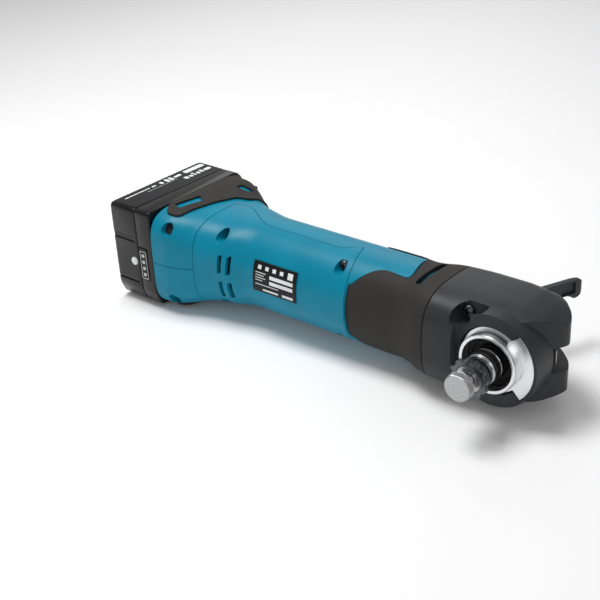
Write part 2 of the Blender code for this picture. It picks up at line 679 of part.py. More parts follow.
LEVER_SIDE = [
    (-3.5, -4.8), (4, -8), (20, -8.8), (46, -8.3), (61, -8.0), (67.5, -7.2), (69.5, -5.6), (68, -4.2), (50, -3.9),
    (6, -3.0), (0, 2),
]
lever = prism("lever", [lever_point(u, v) for u, v in LEVER_SIDE], -LEVER_HALF, LEVER_HALF, CHARCOAL)
join(lever, cylinder("lever_hub", "Z", LEVER_PIVOT, LEVER_HUB, -LEVER_HALF, LEVER_HALF, sides=20))
cut(lever, cylinder("lever_bore", "Z", LEVER_PIVOT, 2.9, -20, 20, sides=12))
CHANNEL = [(18, -12), (18, -6.6), (43, -6.6), (43, -12)]
cut(lever, prism("lever_channel", [lever_point(u, v) for u, v in CHANNEL], -5.4, 5.4))
DIMPLE = [(50, -12), (51, -6.2), (62, -6.0), (64, -12)]
cut(lever, prism("lever_dimple", [lever_point(u, v) for u, v in DIMPLE], -2.5, 5.6))
WAIST = [(47.5, -14), (47.5, 6), (75, 6), (75, -14)]
cut(lever, prism("lever_waist", [lever_point(u, v) for u, v in WAIST], -20, -5.0))
ROCKER_SIDE = [(-27.0, 19.4), (-14, 14.6), (-3, 16.5), (3.0, 16.5), (3.6, 18.4), (-14, 22.4), (-26.0, 21.6)]
release_rocker = prism("release_rocker", ROCKER_SIDE, -5.6, 5.6, DARK_STEEL)
cut(release_rocker, cylinder("rocker_bore", "Z", ROCKER_PIVOT, 2.3, -20, 20, sides=12))
rocker_pin = cylinder("rocker_pin", "Z", ROCKER_PIVOT, 2.0, -13.8, 13.8, STEEL, sides=12)
cut(head_cover, cylinder("rocker_pin_hole", "Z", ROCKER_PIVOT, 2.3, -14.2, 14.2, sides=12))
cut(head_cover, cylinder("rod_way", "Y", (0, 0), 3.0, 0, 20, sides=12))
cut(gear_housing, cylinder("gearcase_rod_way", "Y", (0, 0), 3.0, 0, 20, sides=12))
lever_pin = cylinder("lever_pin", "Z", LEVER_PIVOT, 2.5, -24.1, 24.1, STEEL, sides=12)
lever_catch = prism(
    "lever_catch", [(24.3, 3.2), (27.0, -1.5), (29.4, -2.2), (29.4, -3.2), (26.8, -2.8), (24.9, -1.2), (24.9, -8.6), (24.3, -8.6)][::-1],
    -4.5, 4.5, STEEL,
)
cut(head_cover, box("catch_room", (20.0, -12, -4.9), (26.8, 7, 4.9)))


# ---- motor -----------------------------------------------------------------------------------------------

stator = ring("stator", "X", STATOR[2], STATOR[3], STATOR[0], STATOR[1], LAMINATION, steps=20)
for index in range(6):
    turn = 2 * math.pi * index / 6
    groove = cylinder(f"stator_groove_{index}", "X", (24.6 * math.cos(turn), 24.6 * math.sin(turn)), 2.0, -190, -120, sides=8)
    cut(stator, groove)
winding_rear = turned("winding_rear", "X", [(21.5, -179.4), (22.6, -181), (21.5, -184.4), (16, -184.4), (15, -181), (16, -178.4), (21.5, -178.4)], COPPER)
winding_front = turned("winding_front", "X", [(21.5, -131.6), (21.5, -130), (22.6, -128), (21.5, -125.6), (16, -125.6), (15, -128), (16, -131.6)][::-1], COPPER)
rotor_core = ring("rotor_core", "X", 4.3, 13.2, -176, -134, DARK_STEEL, steps=20)
motor_shaft = cylinder("motor_shaft", "X", (0, 0), 4.0, -197, -50, STEEL, sides=16)
join(motor_shaft, cylinder("eccentric_pin", "X", (ECCENTRICITY, 0), 2.6, -52, -36, sides=12))
eccentric_bearing = ball_bearing("eccentric_bearing", "X", 2.9, 6.4, -46, -38.5, (ECCENTRICITY, 0))
fan = turned("fan", "X", [(18.7, -113.0), (18.7, -115.0), (9.0, -117.0), (9.0, -123.0), (4.3, -123.0), (4.3, -113.0)], INNER_BLACK, steps=20)
blades = []
for index in range(11):
    blade = box(f"fan_blade_{index}", (-122.0, 8.2, -0.7), (-114.0, 18.4, 0.7))
    blade.rotation_euler = (2 * math.pi * index / 11, 0, 0)
    blades.append(blade)
join(fan, *blades)
motor_bearing_rear = ball_bearing("motor_bearing_rear", "X", 4.3, 9.5, -195.5, -189.0)
motor_bearing_front = ball_bearing("motor_bearing_front", "X", 4.3, 11.0, -57.5, -51.2)
motor_end_frame = cylinder("motor_end_frame", "X", (0, 0), 28.4, -190.5, -186.5, INNER_BLACK, sides=28)
join(motor_end_frame, cylinder("end_frame_cup", "X", (0, 0), 13.0, -198.5, -188.0, sides=20))
cut(motor_end_frame, cylinder("end_frame_seat", "X", (0, 0), 9.8, -196.0, -180.0, sides=20))
cut(motor_end_frame, cylinder("end_frame_bore", "X", (0, 0), 5.0, -205.0, -180.0, sides=16))
cut(motor_end_frame, box("end_frame_link_way", (-200, 23.9, -3.2), (-180, 40, 3.2)))
for index in range(6):
    turn = 2 * math.pi * index / 6
    hole = cylinder(f"end_frame_hole_{index}", "X", (20.5 * math.cos(turn), 20.5 * math.sin(turn)), 4.6, -210, -180, sides=8)
    cut(motor_end_frame, hole)
sensor_board = ring("sensor_board", "X", 7.0, 21.0, -186.2, -184.9, BOARD, steps=16)


# ---- switch, dial and electronics ------------------------------------------------------------------------

slide_button = box("slide_button", (SWITCH_X - 6.5, 32.8, -6.4), (SWITCH_X + 6.5, 37.4, 6.4), CHARCOAL)
join(slide_button, box("button_stem", (SWITCH_X - 2.5, 25.6, -2.8), (SWITCH_X + 2.5, 33.6, 2.8)))
for index in range(4):
    x = SWITCH_X - 5.3 + 3.1 * index
    cut(slide_button, box(f"button_groove_{index}", (x, 36.6, -10), (x + 1.3, 42, 10)))
switch_link = box("switch_link", (-204.0, 24.6, -2.6), (SWITCH_X + 3.5, 25.3, 2.6), WHITE)
power_switch = box("power_switch", (-214.6, 8, -8), (-204.8, 23.8, 8), INNER_BLACK)
controller = box("controller", (-249.6, -22, -19), (-224.0, 10.0, 19), CAST)
cut(controller, box("controller_potting", (-251, -20.5, -17.5), (-245, 8.5, 17.5)))

DIAL_CENTRE = (-226.0, 27.0)
speed_dial = prism("speed_dial", [(DIAL_CENTRE[0] + x, DIAL_CENTRE[1] + y) for x, y in star(11.2, 10.7, 18)], -4.0, 4.0, CHARCOAL)
cut(speed_dial, cylinder("dial_bore", "Z", DIAL_CENTRE, 2.3, -20, 20, sides=12))
dial_shaft = cylinder("dial_shaft", "Z", DIAL_CENTRE, 2.0, -9.0, 9.0, STEEL, sides=12)
dial_sensor = box("dial_sensor", (-232, 15, 9.4), (-222, 28.5, 14.0), BOARD)

rail_inner = stations_between(BODY_SECTIONS, FRAME_X[0], FRAME_X[1])
rail_frame = loft("rail_frame", rail_inner, INNER_BLACK, grow=-WALL - GAP)
clear = 0.5
cut(rail_frame, box("rail_neck_room", (-290, RAIL_Y[0] - clear, -RAIL_NECK[1] - clear), (-260, 90, RAIL_NECK[1] + clear)))
cut(rail_frame, box("rail_head_room", (RAIL_NECK[0] - clear, RAIL_Y[0] - clear, -RAIL_HEAD[1] - clear), (RAIL_HEAD[0] + clear, 90, RAIL_HEAD[1] + clear)))
cut(rail_frame, box("terminal_window", (-260, -20.4, -16.4), (-240, 10.4, 16.4)))
terminal_block = box("terminal_block", (-254.4, -20, -16), (-250.2, 10, 16), INNER_BLACK)
for index in range(4):
    z = -12 + 8 * index
    join(terminal_block, box(f"terminal_blade_{index}", (-259.5, -14, z - 0.4), (-253.5, 6, z + 0.4)))


# ---- battery pack ----------------------------------------------------------------------------------------

PACK_OUTLINE = [
    (PACK_LOW[1], -27.0), (PACK_LOW[1], 35.5), (PACK_LOW[1] + 2, 37.5), (PACK_HIGH[1] - 6, 37.5),
    (PACK_HIGH[1], 31.0), (PACK_HIGH[1], -31.0), (PACK_HIGH[1] - 6, -37.5), (PACK_LOW[1] + 4.5, -37.5),
]


def pack_shell(name, start, end, material):
    """One part of the pack's case: the outline as a block from start to end along X, hollowed for the cells."""
    shell = prism(name, PACK_OUTLINE, start, end, material, axis="X")
    low = (PACK_LOW[0] + PACK_WALL, PACK_LOW[1] + 2.0, PACK_LOW[2] + 2.0)
    high = (PACK_HIGH[0] - 1.8, PACK_HIGH[1] - 2.2, PACK_HIGH[2] - 2.0)
    room = prism(name + "_room", grown(PACK_OUTLINE, -2.0), low[0], high[0], axis="X")
    cut(shell, room)
    return shell


battery_tray = pack_shell("battery_tray", PACK_LOW[0], PACK_SPLIT - GAP / 2, PACK_BLACK)
battery_lid = pack_shell("battery_lid", PACK_SPLIT + GAP / 2, PACK_HIGH[0], PACK_BLACK)
join(battery_lid, box("rail_neck", (-270.8, RAIL_Y[0], -RAIL_NECK[1]), (RAIL_NECK[0] + 0.5, RAIL_Y[1], RAIL_NECK[1])))
join(battery_lid, box("rail_head", (RAIL_NECK[0], RAIL_Y[0], -RAIL_HEAD[1]), (RAIL_HEAD[0], RAIL_Y[1], RAIL_HEAD[1])))
cut(battery_lid, box("board_room", (-273, -36, -19), (-257.5, 36, 19)))
for index in range(4):
    z = -12 + 8 * index
    cut(battery_lid, box(f"blade_slot_{index}", (-262, -60, z - 1.2), (-250, 7.5, z + 1.2)))
cut(battery_lid, box("latch_room", (-269.2, 43.5, -13), (-240, 60, 13)))
battery_latch = box("battery_latch", (-264.4, 44.2, -12.4), (-255.6, 50.6, 12.4), CHARCOAL)
for index in range(3):
    x = -262.5 + 2.4 * index
    cut(battery_latch, box(f"latch_groove_{index}", (x, 49.8, -9), (x + 1.1, 60, 9)))
latch_spring = coil("latch_spring", "X", (47.2, 0), 2.2, 0.8, -268.3, -265.2, 3, STEEL)
battery_board = box("battery_board", (-270.0, -33, -17), (-268.4, 33, 17), BOARD)
for index in range(4):
    z = -12 + 8 * index
    join(battery_board, box(f"board_clip_{index}", (-269.0, 12, z - 1.6), (-263.2, 20, z + 1.6)))

cut(battery_lid, box("gauge_room", (-284.0, -60, -17.5), (-275.5, -47.0, 8.5)))
charge_gauge = box("charge_gauge", (-283.6, -49.0, -17.1), (-275.9, -47.3, 8.1), LABEL)
CHECK_BUTTON = (-290.2, -4.8)
cut(battery_tray, cylinder("check_room", "Y", CHECK_BUTTON, 3.5, -60, -40, sides=16))
check_button = cylinder("check_button", "Y", CHECK_BUTTON, 3.1, -49.3, -46.9, WHITE, sides=16)

cell_rows = []
for number, x in enumerate(CELL_ROWS_X, 1):
    cells = [
        cylinder(f"cell_{number}_{index}", "Z", (x, CELL_FIRST_Y + CELL_PITCH * index), CELL_RADIUS, -32, 32, CELL_WRAP, sides=16)
        for index in range(5)
    ]
    row = cells[0]
    row.name = f"cell_row_{number}"
    join(row, *cells[1:])
    for end, z in enumerate((-32.5, 31.8)):
        join(row, box(f"cell_strip_{number}_{end}", (x - 3.5, -41, z), (x + 3.5, 44, z + 0.7)))
    cell_rows.append(row)


# ---- what moves with what --------------------------------------------------------------------------------

lever_axis = pivot("lever_axis", *LEVER_PIVOT, 0)
spindle_axis = pivot("spindle_axis", 0, 0, 0)
bolt_axis = pivot("bolt_axis", 0, BOLT_FACE_Y, 0)
motor_axis = pivot("motor_axis", -150, 0, 0)
dial_axis = pivot("dial_axis", *DIAL_CENTRE, 0)
pack_axis = pivot("pack_axis", *[(a + b) / 2 for a, b in zip(PACK_LOW, PACK_HIGH)])
rocker_axis = pivot("rocker_axis", *ROCKER_PIVOT, 0)
moving = {
    lever_axis: [lever],
    rocker_axis: [release_rocker],
    spindle_axis: [spindle, spindle_o_ring, clamp_flange, fork, clamp_spring],
    bolt_axis: [holder_bolt],
    motor_axis: [motor_shaft, rotor_core, fan, eccentric_bearing],
    dial_axis: [speed_dial, dial_shaft],
    pack_axis: [
        battery_tray, battery_lid, battery_latch, latch_spring, battery_board, charge_gauge, check_button, *cell_rows,
    ],
}
bpy.context.view_layer.update()
for empty, pieces in moving.items():
    carry(empty, *pieces)
bpy.context.view_layer.update()
for piece in list(parts.objects) + list(cutters.objects):
    if piece.parent is None and piece is not tool:
        piece.parent = tool

# The tool's frame: the middle of its box at rest, on the box's lowest face.
bpy.context.view_layer.update()
graph = bpy.context.evaluated_depsgraph_get()
corners = []
for piece in parts.objects:
    if piece.type != "EMPTY":
        shape = piece.evaluated_get(graph)
        corners += [shape.matrix_world @ Vector(c) for c in shape.bound_box]
low = [min(c[k] for c in corners) for k in range(3)]
high = [max(c[k] for c in corners) for k in range(3)]
tool.location = (-(low[0] + high[0]) / 2, -(low[1] + high[1]) / 2, -low[2])
bpy.context.view_layer.update()
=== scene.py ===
"""Looks of the cordless oscillating multi tool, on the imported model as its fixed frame."""

import json
import math

import bmesh
import bpy
import numpy as np
from mathutils import Matrix, Vector


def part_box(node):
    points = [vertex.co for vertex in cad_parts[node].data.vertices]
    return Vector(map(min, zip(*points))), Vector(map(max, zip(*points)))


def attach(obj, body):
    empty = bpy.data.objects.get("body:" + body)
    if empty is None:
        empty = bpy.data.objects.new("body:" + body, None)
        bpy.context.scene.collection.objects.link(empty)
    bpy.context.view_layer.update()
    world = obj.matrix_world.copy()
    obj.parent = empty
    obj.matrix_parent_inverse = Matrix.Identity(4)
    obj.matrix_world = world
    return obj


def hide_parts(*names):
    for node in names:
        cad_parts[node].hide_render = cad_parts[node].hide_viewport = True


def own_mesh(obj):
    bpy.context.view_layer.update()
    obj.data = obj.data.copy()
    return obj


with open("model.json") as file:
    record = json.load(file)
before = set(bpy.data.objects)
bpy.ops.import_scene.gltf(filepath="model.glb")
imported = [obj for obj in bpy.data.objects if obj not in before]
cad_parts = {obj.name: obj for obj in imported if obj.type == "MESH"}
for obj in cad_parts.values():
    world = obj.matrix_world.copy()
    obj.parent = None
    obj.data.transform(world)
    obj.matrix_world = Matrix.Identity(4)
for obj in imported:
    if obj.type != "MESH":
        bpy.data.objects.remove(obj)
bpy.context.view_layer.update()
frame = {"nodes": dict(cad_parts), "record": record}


# ---- Studio: a pale floor and soft lights --------------------------------------------------------
# A seamless white sweep under large softboxes: one broad key from above, one low fill from the spindle's
# side. The camera stands off the spindle's side, above the bench.

# Where the spindle's axis, the tip of the holder bolt and the plane of symmetry are, in metres.
spindle_low, spindle_high = (np.array(corner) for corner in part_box("spindle"))
BOLT_TIP_Y = -66.3
ORIGIN = np.array([
    (spindle_low[0] + spindle_high[0]) / 2,
    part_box("holder_bolt")[0][1] - BOLT_TIP_Y / 1000,
    (spindle_low[2] + spindle_high[2]) / 2,
])


def linear(hex_colour, shade=1.0):
    """An sRGB hex colour as linear RGBA: ((c + 0.055) / 1.055) ^ 2.4, times a shade."""
    channels = np.array([int(hex_colour[i : i + 2], 16) / 255 for i in (0, 2, 4)])
    low = channels / 12.92
    high = ((channels + 0.055) / 1.055) ** 2.4
    return (*(np.where(channels <= 0.04045, low, high) * shade).tolist(), 1.0)


def add(tree, kind, settings=None, links=None):
    """Adds a node, sets its sockets or properties by name or number, and links its inputs."""
    made = tree.nodes.new(kind)
    for key, value in (settings or {}).items():
        if isinstance(key, int) or key in made.inputs:
            made.inputs[key].default_value = value
        else:
            setattr(made, key, value)
    for key, source in (links or {}).items():
        tree.links.new(source, made.inputs[key])
    return made


def white_sweep():
    """Matt white paper, with a faint mottle so that it doesn't read as a void."""
    made = bpy.data.materials.new("sweep_paper")
    made.use_nodes = True
    tree = made.node_tree
    shader = tree.nodes["Principled BSDF"]
    shader.inputs["Roughness"].default_value = 0.9
    coords = add(tree, "ShaderNodeTexCoord")
    mottle = add(tree, "ShaderNodeTexNoise", {"Scale": 6.0}, {"Vector": coords.outputs["Object"]})
    ramp = add(tree, "ShaderNodeValToRGB", None, {"Fac": mottle.outputs["Fac"]})
    ramp.color_ramp.elements[0].color = linear("FBFBFB")
    ramp.color_ramp.elements[1].color = linear("FEFEFE")
    tree.links.new(ramp.outputs["Color"], shader.inputs["Base Color"])
    return made


floor_mesh = bpy.data.meshes.new("floor")
# Half the floor's side, and how far it lies under the tool, in metres.
REACH = 6.0
FLOOR_GAP = 0.0002
floor_corners = [(-REACH, -REACH, 0), (REACH, -REACH, 0), (REACH, REACH, 0), (-REACH, REACH, 0)]
floor_mesh.from_pydata(floor_corners, [], [(0, 1, 2, 3)])
floor = bpy.data.objects.new("floor", floor_mesh)
bpy.context.scene.collection.objects.link(floor)
floor.location.z = -FLOOR_GAP
floor_mesh.materials.append(white_sweep())

world = bpy.data.worlds.new("studio")
bpy.context.scene.world = world
world.use_nodes = True
world.node_tree.nodes["Background"].inputs["Color"].default_value = linear("FFFFFF")
world.node_tree.nodes["Background"].inputs["Strength"].default_value = 0.36
# The plain transform keeps the white sweep white and the blue-green saturated.
bpy.context.scene.view_settings.view_transform = "Standard"


def softbox(name, place, aim, size, power):
    """A square area light, turned so that its face looks at the aim point."""
    light = bpy.data.lights.new(name, "AREA")
    light.size = size
    light.energy = power
    made = bpy.data.objects.new(name, light)
    bpy.context.scene.collection.objects.link(made)
    made.location = place
    made.rotation_euler = (Vector(aim) - Vector(place)).to_track_quat("-Z", "Y").to_euler()
    return made


softbox("key_box", (-0.30, -0.10, 1.05), (0, 0, 0.04), 0.45, 8.6)
softbox("fill_box", (0.75, -0.75, 0.45), (0, 0, 0.04), 0.5, 1.5)
softbox("back_box", (-0.5, 0.8, 0.6), (0, 0, 0.04), 0.6, 1.2)

# The camera's stand from the spindle's axis, in mm, and its three directions.
CAMERA_STAND = (306.8, -546.1, 363.9)
CAMERA_RIGHT = Vector((0.767, 0.639, -0.051)).normalized()
CAMERA_BACK = Vector((0.583, -0.662, 0.470)).normalized()
CAMERA_LENS = 69.6
camera_data = bpy.data.cameras.new("camera")
camera_data.lens = CAMERA_LENS
camera_data.sensor_width = 36.0
camera_data.clip_start = 0.01
camera = bpy.data.objects.new("camera", camera_data)
bpy.context.scene.collection.objects.link(camera)
camera_up = CAMERA_BACK.cross(CAMERA_RIGHT).normalized()
turn = Matrix((CAMERA_RIGHT, camera_up, CAMERA_BACK)).transposed().to_4x4()
camera.matrix_world = Matrix.Translation(Vector(ORIGIN) + Vector(CAMERA_STAND) / 1000) @ turn
bpy.context.scene.camera = camera


# ---- Barrel: two clamshell halves of blue-green nylon ---------------------------------------
# Injection-moulded glass-filled nylon, blue-green right through, with a fine spark-eroded grain. The halves
# meet in the plane of symmetry and run on as a sleeve under the front grip, with a tongue that shows there.

# Along the barrel, in mm: station, reach to the spindle's side, reach to the lever's, half width, and
# the power of its superellipse.
BARREL_FORM = np.array([
    (-269.0, 49.5, 50.0, 37.5, 5.0), (-256.0, 49.0, 49.5, 37.2, 4.6), (-245.0, 45.5, 45.0, 35.4, 3.8),
    (-236.0, 41.5, 39.5, 33.6, 3.2), (-224.0, 38.5, 35.2, 32.8, 2.7), (-210.0, 37.5, 33.2, 32.5, 2.4),
    (-203.0, 34.2, 32.6, 32.3, 2.25), (-196.0, 32.6, 32.4, 32.2, 2.15), (-108.0, 32.0, 32.3, 32.1, 2.15),
    (-60.0, 32.0, 32.3, 32.1, 2.15),
])
WALL = 3.0
SEAM = 0.35


def form_at(form, x, soften):
    """Each measure as a line through its stations, averaged over a span of soften mm either side of x."""
    offsets = np.linspace(-soften, soften, 9)
    inside = np.clip(x[:, None] + offsets, form[0, 0], form[-1, 0])
    return np.stack([np.interp(inside, form[:, 0], form[:, k]).mean(axis=1) for k in range(1, 5)], axis=1)


def barrel_grid(form, start, end, grow=0.0, step=2.0, around=112, soften=3.0):
    """Superellipse rings, |y/a|^p + |z/b|^p = 1, with a unlike on the two sides, at each station of x."""
    x = np.linspace(start, end, max(2, int(abs(end - start) / step) + 1))
    low, high, half, power = (column[:, None] for column in form_at(form, x, soften).T)
    turn = 2 * np.pi * (np.arange(around) + 0.5)[None, :] / around
    c, s = np.cos(turn), np.sin(turn)
    y = (np.where(c > 0, high, low) + grow) * np.sign(c) * np.abs(c) ** (2 / power)
    z = (half + grow) * np.sign(s) * np.abs(s) ** (2 / power)
    return np.stack([np.broadcast_to(x[:, None], y.shape), y, z], axis=2)


def closed_mesh(name, rings):
    """A grid of rings skinned with quads, and a flat face on its first and last ring."""
    count, around, _ = rings.shape
    index = np.arange(count * around).reshape(count, around)
    nxt = np.roll(index, -1, axis=1)
    quads = np.stack([index[:-1], nxt[:-1], nxt[1:], index[1:]], axis=2).reshape(-1, 4)
    mesh = bpy.data.meshes.new(name)
    ends = [index[0][::-1].tolist(), index[-1].tolist()]
    mesh.from_pydata(rings.reshape(-1, 3).tolist(), [], quads.tolist() + ends)
    outward(mesh)
    return in_scene(name, mesh)


def outward(mesh):
    """Turns every face outwards."""
    shape = bmesh.new()
    shape.from_mesh(mesh)
    bmesh.ops.recalc_face_normals(shape, faces=shape.faces)
    shape.to_mesh(mesh)
    shape.free()


def in_scene(name, mesh):
    """A new object of this mesh."""
    made = bpy.data.objects.new(name, mesh)
    bpy.context.scene.collection.objects.link(made)
    return made


def slab(name, outline, low, high, axis="Z"):
    """An outline carried straight along an axis: (x, y) points for Z, (y, z) for X, (x, z) for Y."""
    flat = np.array(outline, float)
    first, second = {"Z": (0, 1), "X": (1, 2), "Y": (0, 2)}[axis]
    along = {"Z": 2, "X": 0, "Y": 1}[axis]
    rings = np.zeros((2, len(flat), 3))
    rings[:, :, first] = flat[None, :, 0]
    rings[:, :, second] = flat[None, :, 1]
    rings[:, :, along] = np.array([low, high])[:, None]
    return closed_mesh(name, rings)


def block(name, low, high):
    """A slab with a square outline, between two corners."""
    outline = [(low[0], low[1]), (high[0], low[1]), (high[0], high[1]), (low[0], high[1])]
    return slab(name, outline, low[2], high[2])


def bar(name, axis, centre, radius, start, end, around=48, end_radius=None):
    """A round bar or cone: a circle of the radius carried from start to end along an axis."""
    turn = 2 * np.pi * np.arange(around) / around
    rings = np.zeros((2, around, 3))
    radii = np.array([radius, radius if end_radius is None else end_radius])[:, None]
    first, second, along = {"X": (1, 2, 0), "Y": (0, 2, 1), "Z": (0, 1, 2)}[axis]
    rings[:, :, first] = centre[0] + radii * np.cos(turn)
    rings[:, :, second] = centre[1] + radii * np.sin(turn)
    rings[:, :, along] = np.array([start, end])[:, None]
    return closed_mesh(name, rings)


def rounded(outline, radius, steps=5):
    """The outline with each corner as a parabola that leaves its sides radius mm before the corner."""
    points = np.array(outline, float)
    before, after = np.roll(points, 1, axis=0), np.roll(points, -1, axis=0)
    back, ahead = before - points, after - points
    reach_back, reach_ahead = (np.linalg.norm(v, axis=1, keepdims=True) for v in (back, ahead))
    start = points + back / reach_back * np.minimum(radius, reach_back * 0.45)
    end = points + ahead / reach_ahead * np.minimum(radius, reach_ahead * 0.45)
    t = np.linspace(0, 1, steps)[None, :, None]
    curve = (1 - t) ** 2 * start[:, None] + 2 * t * (1 - t) * points[:, None] + t**2 * end[:, None]
    return curve.reshape(-1, 2).tolist()


def shaped(target, operation, *others):
    """Boolean steps with shapes that are removed once the piece is settled."""
    for other in others:
        step = target.modifiers.new(other.name, "BOOLEAN")
        step.operation = operation
        step.solver = "EXACT"
        step.object = other
    return target


def settled(target, name, finish, body, replaced=(), crease=32.0):
    """The finished piece in metres, in place, modifiers applied, with edges sharp over the crease angle."""
    bpy.context.view_layer.update()
    graph = bpy.context.evaluated_depsgraph_get()
    mesh = bpy.data.meshes.new_from_object(target.evaluated_get(graph))
    tools = {target}
    queue = [target]
    while queue:
        for step in queue.pop().modifiers:
            if step.type == "BOOLEAN" and step.object not in tools:
                tools.add(step.object)
                queue.append(step.object)
    for tool in tools:
        bpy.data.objects.remove(tool)
    shape = bmesh.new()
    shape.from_mesh(mesh)
    bmesh.ops.remove_doubles(shape, verts=shape.verts, dist=1e-4)
    bmesh.ops.dissolve_degenerate(shape, dist=1e-4, edges=shape.edges)
    shape.to_mesh(mesh)
    shape.free()
    mesh.transform(Matrix.Translation(Vector(ORIGIN)) @ Matrix.Scale(0.001, 4))
    mesh.name = name
    mesh.shade_smooth()
    mesh.set_sharp_from_angle(angle=math.radians(crease))
    mesh.materials.clear()
    mesh.materials.append(finish)
    piece = in_scene(name, mesh)
    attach(piece, body)
    if replaced:
        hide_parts(*replaced)
    return piece


def moulded(name, hex_colour, roughness, grain_mm, relief_mm, coat=0.0, edge_mm=0.6, gleam=0.2):
    """A moulded polymer: a grain of bumps grain_mm wide and relief_mm high, slow drifts of gloss and shade,
    and edges that look rounded to edge_mm. Gleam is its specular level, coat the weight of a gloss coat."""
    made = bpy.data.materials.new(name)
    made.use_nodes = True
    tree = made.node_tree
    shader = tree.nodes["Principled BSDF"]
    shader.inputs["IOR"].default_value = 1.5
    shader.inputs["Specular IOR Level"].default_value = gleam
    shader.inputs["Coat Weight"].default_value = coat
    coords = add(tree, "ShaderNodeTexCoord")
    grain = add(
        tree, "ShaderNodeTexNoise", {"Scale": 1000 / grain_mm, "Detail": 3.0},
        {"Vector": coords.outputs["Object"]},
    )
    drift = add(
        tree, "ShaderNodeTexNoise", {"Scale": 45.0, "Detail": 4.0}, {"Vector": coords.outputs["Object"]},
    )
    gloss = add(
        tree, "ShaderNodeMapRange",
        {"From Min": 0.3, "From Max": 0.7, "To Min": roughness - 0.06, "To Max": roughness + 0.06},
        {"Value": drift.outputs["Fac"]},
    )
    ramp = add(tree, "ShaderNodeValToRGB", None, {"Fac": drift.outputs["Fac"]})
    ramp.color_ramp.elements[0].position = 0.3
    ramp.color_ramp.elements[1].position = 0.7
    ramp.color_ramp.elements[0].color = linear(hex_colour, 0.93)
    ramp.color_ramp.elements[1].color = linear(hex_colour, 1.07)
    edge = add(tree, "ShaderNodeBevel", {"samples": 4, "Radius": edge_mm / 1000})
    bump = add(
        tree, "ShaderNodeBump", {"Strength": 0.55, "Distance": relief_mm / 1000},
        {"Height": grain.outputs["Fac"], "Normal": edge.outputs["Normal"]},
    )
    tree.links.new(ramp.outputs["Color"], shader.inputs["Base Color"])
    tree.links.new(gloss.outputs["Result"], shader.inputs["Roughness"])
    tree.links.new(bump.outputs["Normal"], shader.inputs["Normal"])
    return made


# Glass-filled nylon: satin, with a 0.5 mm grain that breaks up its highlights.
nylon_teal = moulded("moulded_nylon_teal", "00809C", 0.37, 0.55, 0.05)

COVER_OUTLINE = [
    (-236.0, -70), (-236.0, 6), (-232.0, 9), (-222.0, 9), (-203.0, -3), (-196.0, -6.5), (-128.0, -6.5),
    (-117.0, 3), (-112.5, -14), (-109.4, -30), (-109.0, -70),
]
TONGUE_OUTLINE = [
    (-125.0, -26), (-107.0, -26), (-94.0, -15.5), (-87.0, -13), (-71.0, -14), (-69.0, -11), (-75.5, 17),
    (-125.0, 17),
]
SLEEVE_FORM = np.array([(-120.0, 27.2, 28.9, 28.7, 2.1), (-50.0, 27.2, 28.9, 28.7, 2.1)])
SCREW_STATIONS = (-218.0, -119.5)
SCREW_Z = 25.5
SCREW_SEAT = -15.0
SWITCH_X = -137.0
SWITCH_TRAVEL = 6.0


def grown(outline, amount):
    """The outline moved outwards by amount along the mean normal of its two sides at each point."""
    points = np.array(outline, float)
    ahead = np.roll(points, -1, axis=0) - points
    ahead /= np.linalg.norm(ahead, axis=1, keepdims=True)
    area = np.sum(points[:, 0] * np.roll(points[:, 1], -1) - np.roll(points[:, 0], -1) * points[:, 1])
    normals = np.stack([ahead[:, 1], -ahead[:, 0]], axis=1) * np.sign(area)
    mean = normals + np.roll(normals, 1, axis=0)
    mean /= np.linalg.norm(mean, axis=1, keepdims=True)
    stretch = np.maximum(0.4, np.sum(mean * normals, axis=1, keepdims=True))
    return (points + mean * amount / stretch).tolist()


REAR_SCREW = (-255.5, -36.0, 27.5)


def housing(side):
    """One half: the barrel's rings less its hollow, the cover's opening and the space round its sleeve."""
    half = closed_mesh("half", barrel_grid(BARREL_FORM, -269.0, -60.0))
    around = block("around", (-108.6, -70, -70), (-50, 70, 70))
    shaped(around, "DIFFERENCE", closed_mesh("sleeve", barrel_grid(SLEEVE_FORM, -120, -60, step=20)))
    shaped(around, "DIFFERENCE", slab("tongue", rounded(TONGUE_OUTLINE, 3.0), -60, 60))
    hollow = closed_mesh("hollow", barrel_grid(BARREL_FORM, -275.0, -111.2, -WALL, step=6))
    bore = closed_mesh("bore", barrel_grid(SLEEVE_FORM, -118, -50, -2.9, step=20))
    cover = slab("cover_room", grown(rounded(COVER_OUTLINE, 3.5), SEAM), -60, 60)
    mouth = block("mouth", (-280, 20, -27.5), (-254.7, 80, 27.5))
    dial = block("dial_slot", (-238.6, 12, -4.8), (-213.4, 60, 4.8))
    stem = block("stem_slot", (SWITCH_X - 3.3, 20, -3.4), (SWITCH_X + 3.3 + SWITCH_TRAVEL, 60, 3.4))
    shaped(half, "DIFFERENCE", around, hollow, bore, cover, mouth, dial, stem)
    x, y, z = REAR_SCREW
    boss = bar("rear_boss", "Y", (x, side * z), 6.6, -60, y + 4)
    rear_rings = barrel_grid(BARREL_FORM, -268.5, -240.0, -0.4, step=3)
    shaped(boss, "INTERSECT", closed_mesh("rear_limit", rear_rings))
    shaped(half, "UNION", boss)
    shaped(half, "DIFFERENCE", bar("rear_counterbore", "Y", (x, side * z), 4.3, -70, y))
    seam = SEAM / 2
    low, high = (seam, 90) if side > 0 else (-90, -seam)
    shaped(half, "INTERSECT", block("side", (-330, -90, low), (60, 90, high)))
    return half


for side, node_name in ((1, "housing_right"), (-1, "housing_left")):
    settled(housing(side), node_name + "_moulding", nylon_teal, "tool_body", [node_name])


# ---- Motor cover, its screws and nameplate -------------------------------------------------------
# The lower half of the barrel is a separate nylon cover. Four pan-head screws sit deep in counterbores that
# run out through the curved wall. Two rows of slots let the motor's air in.

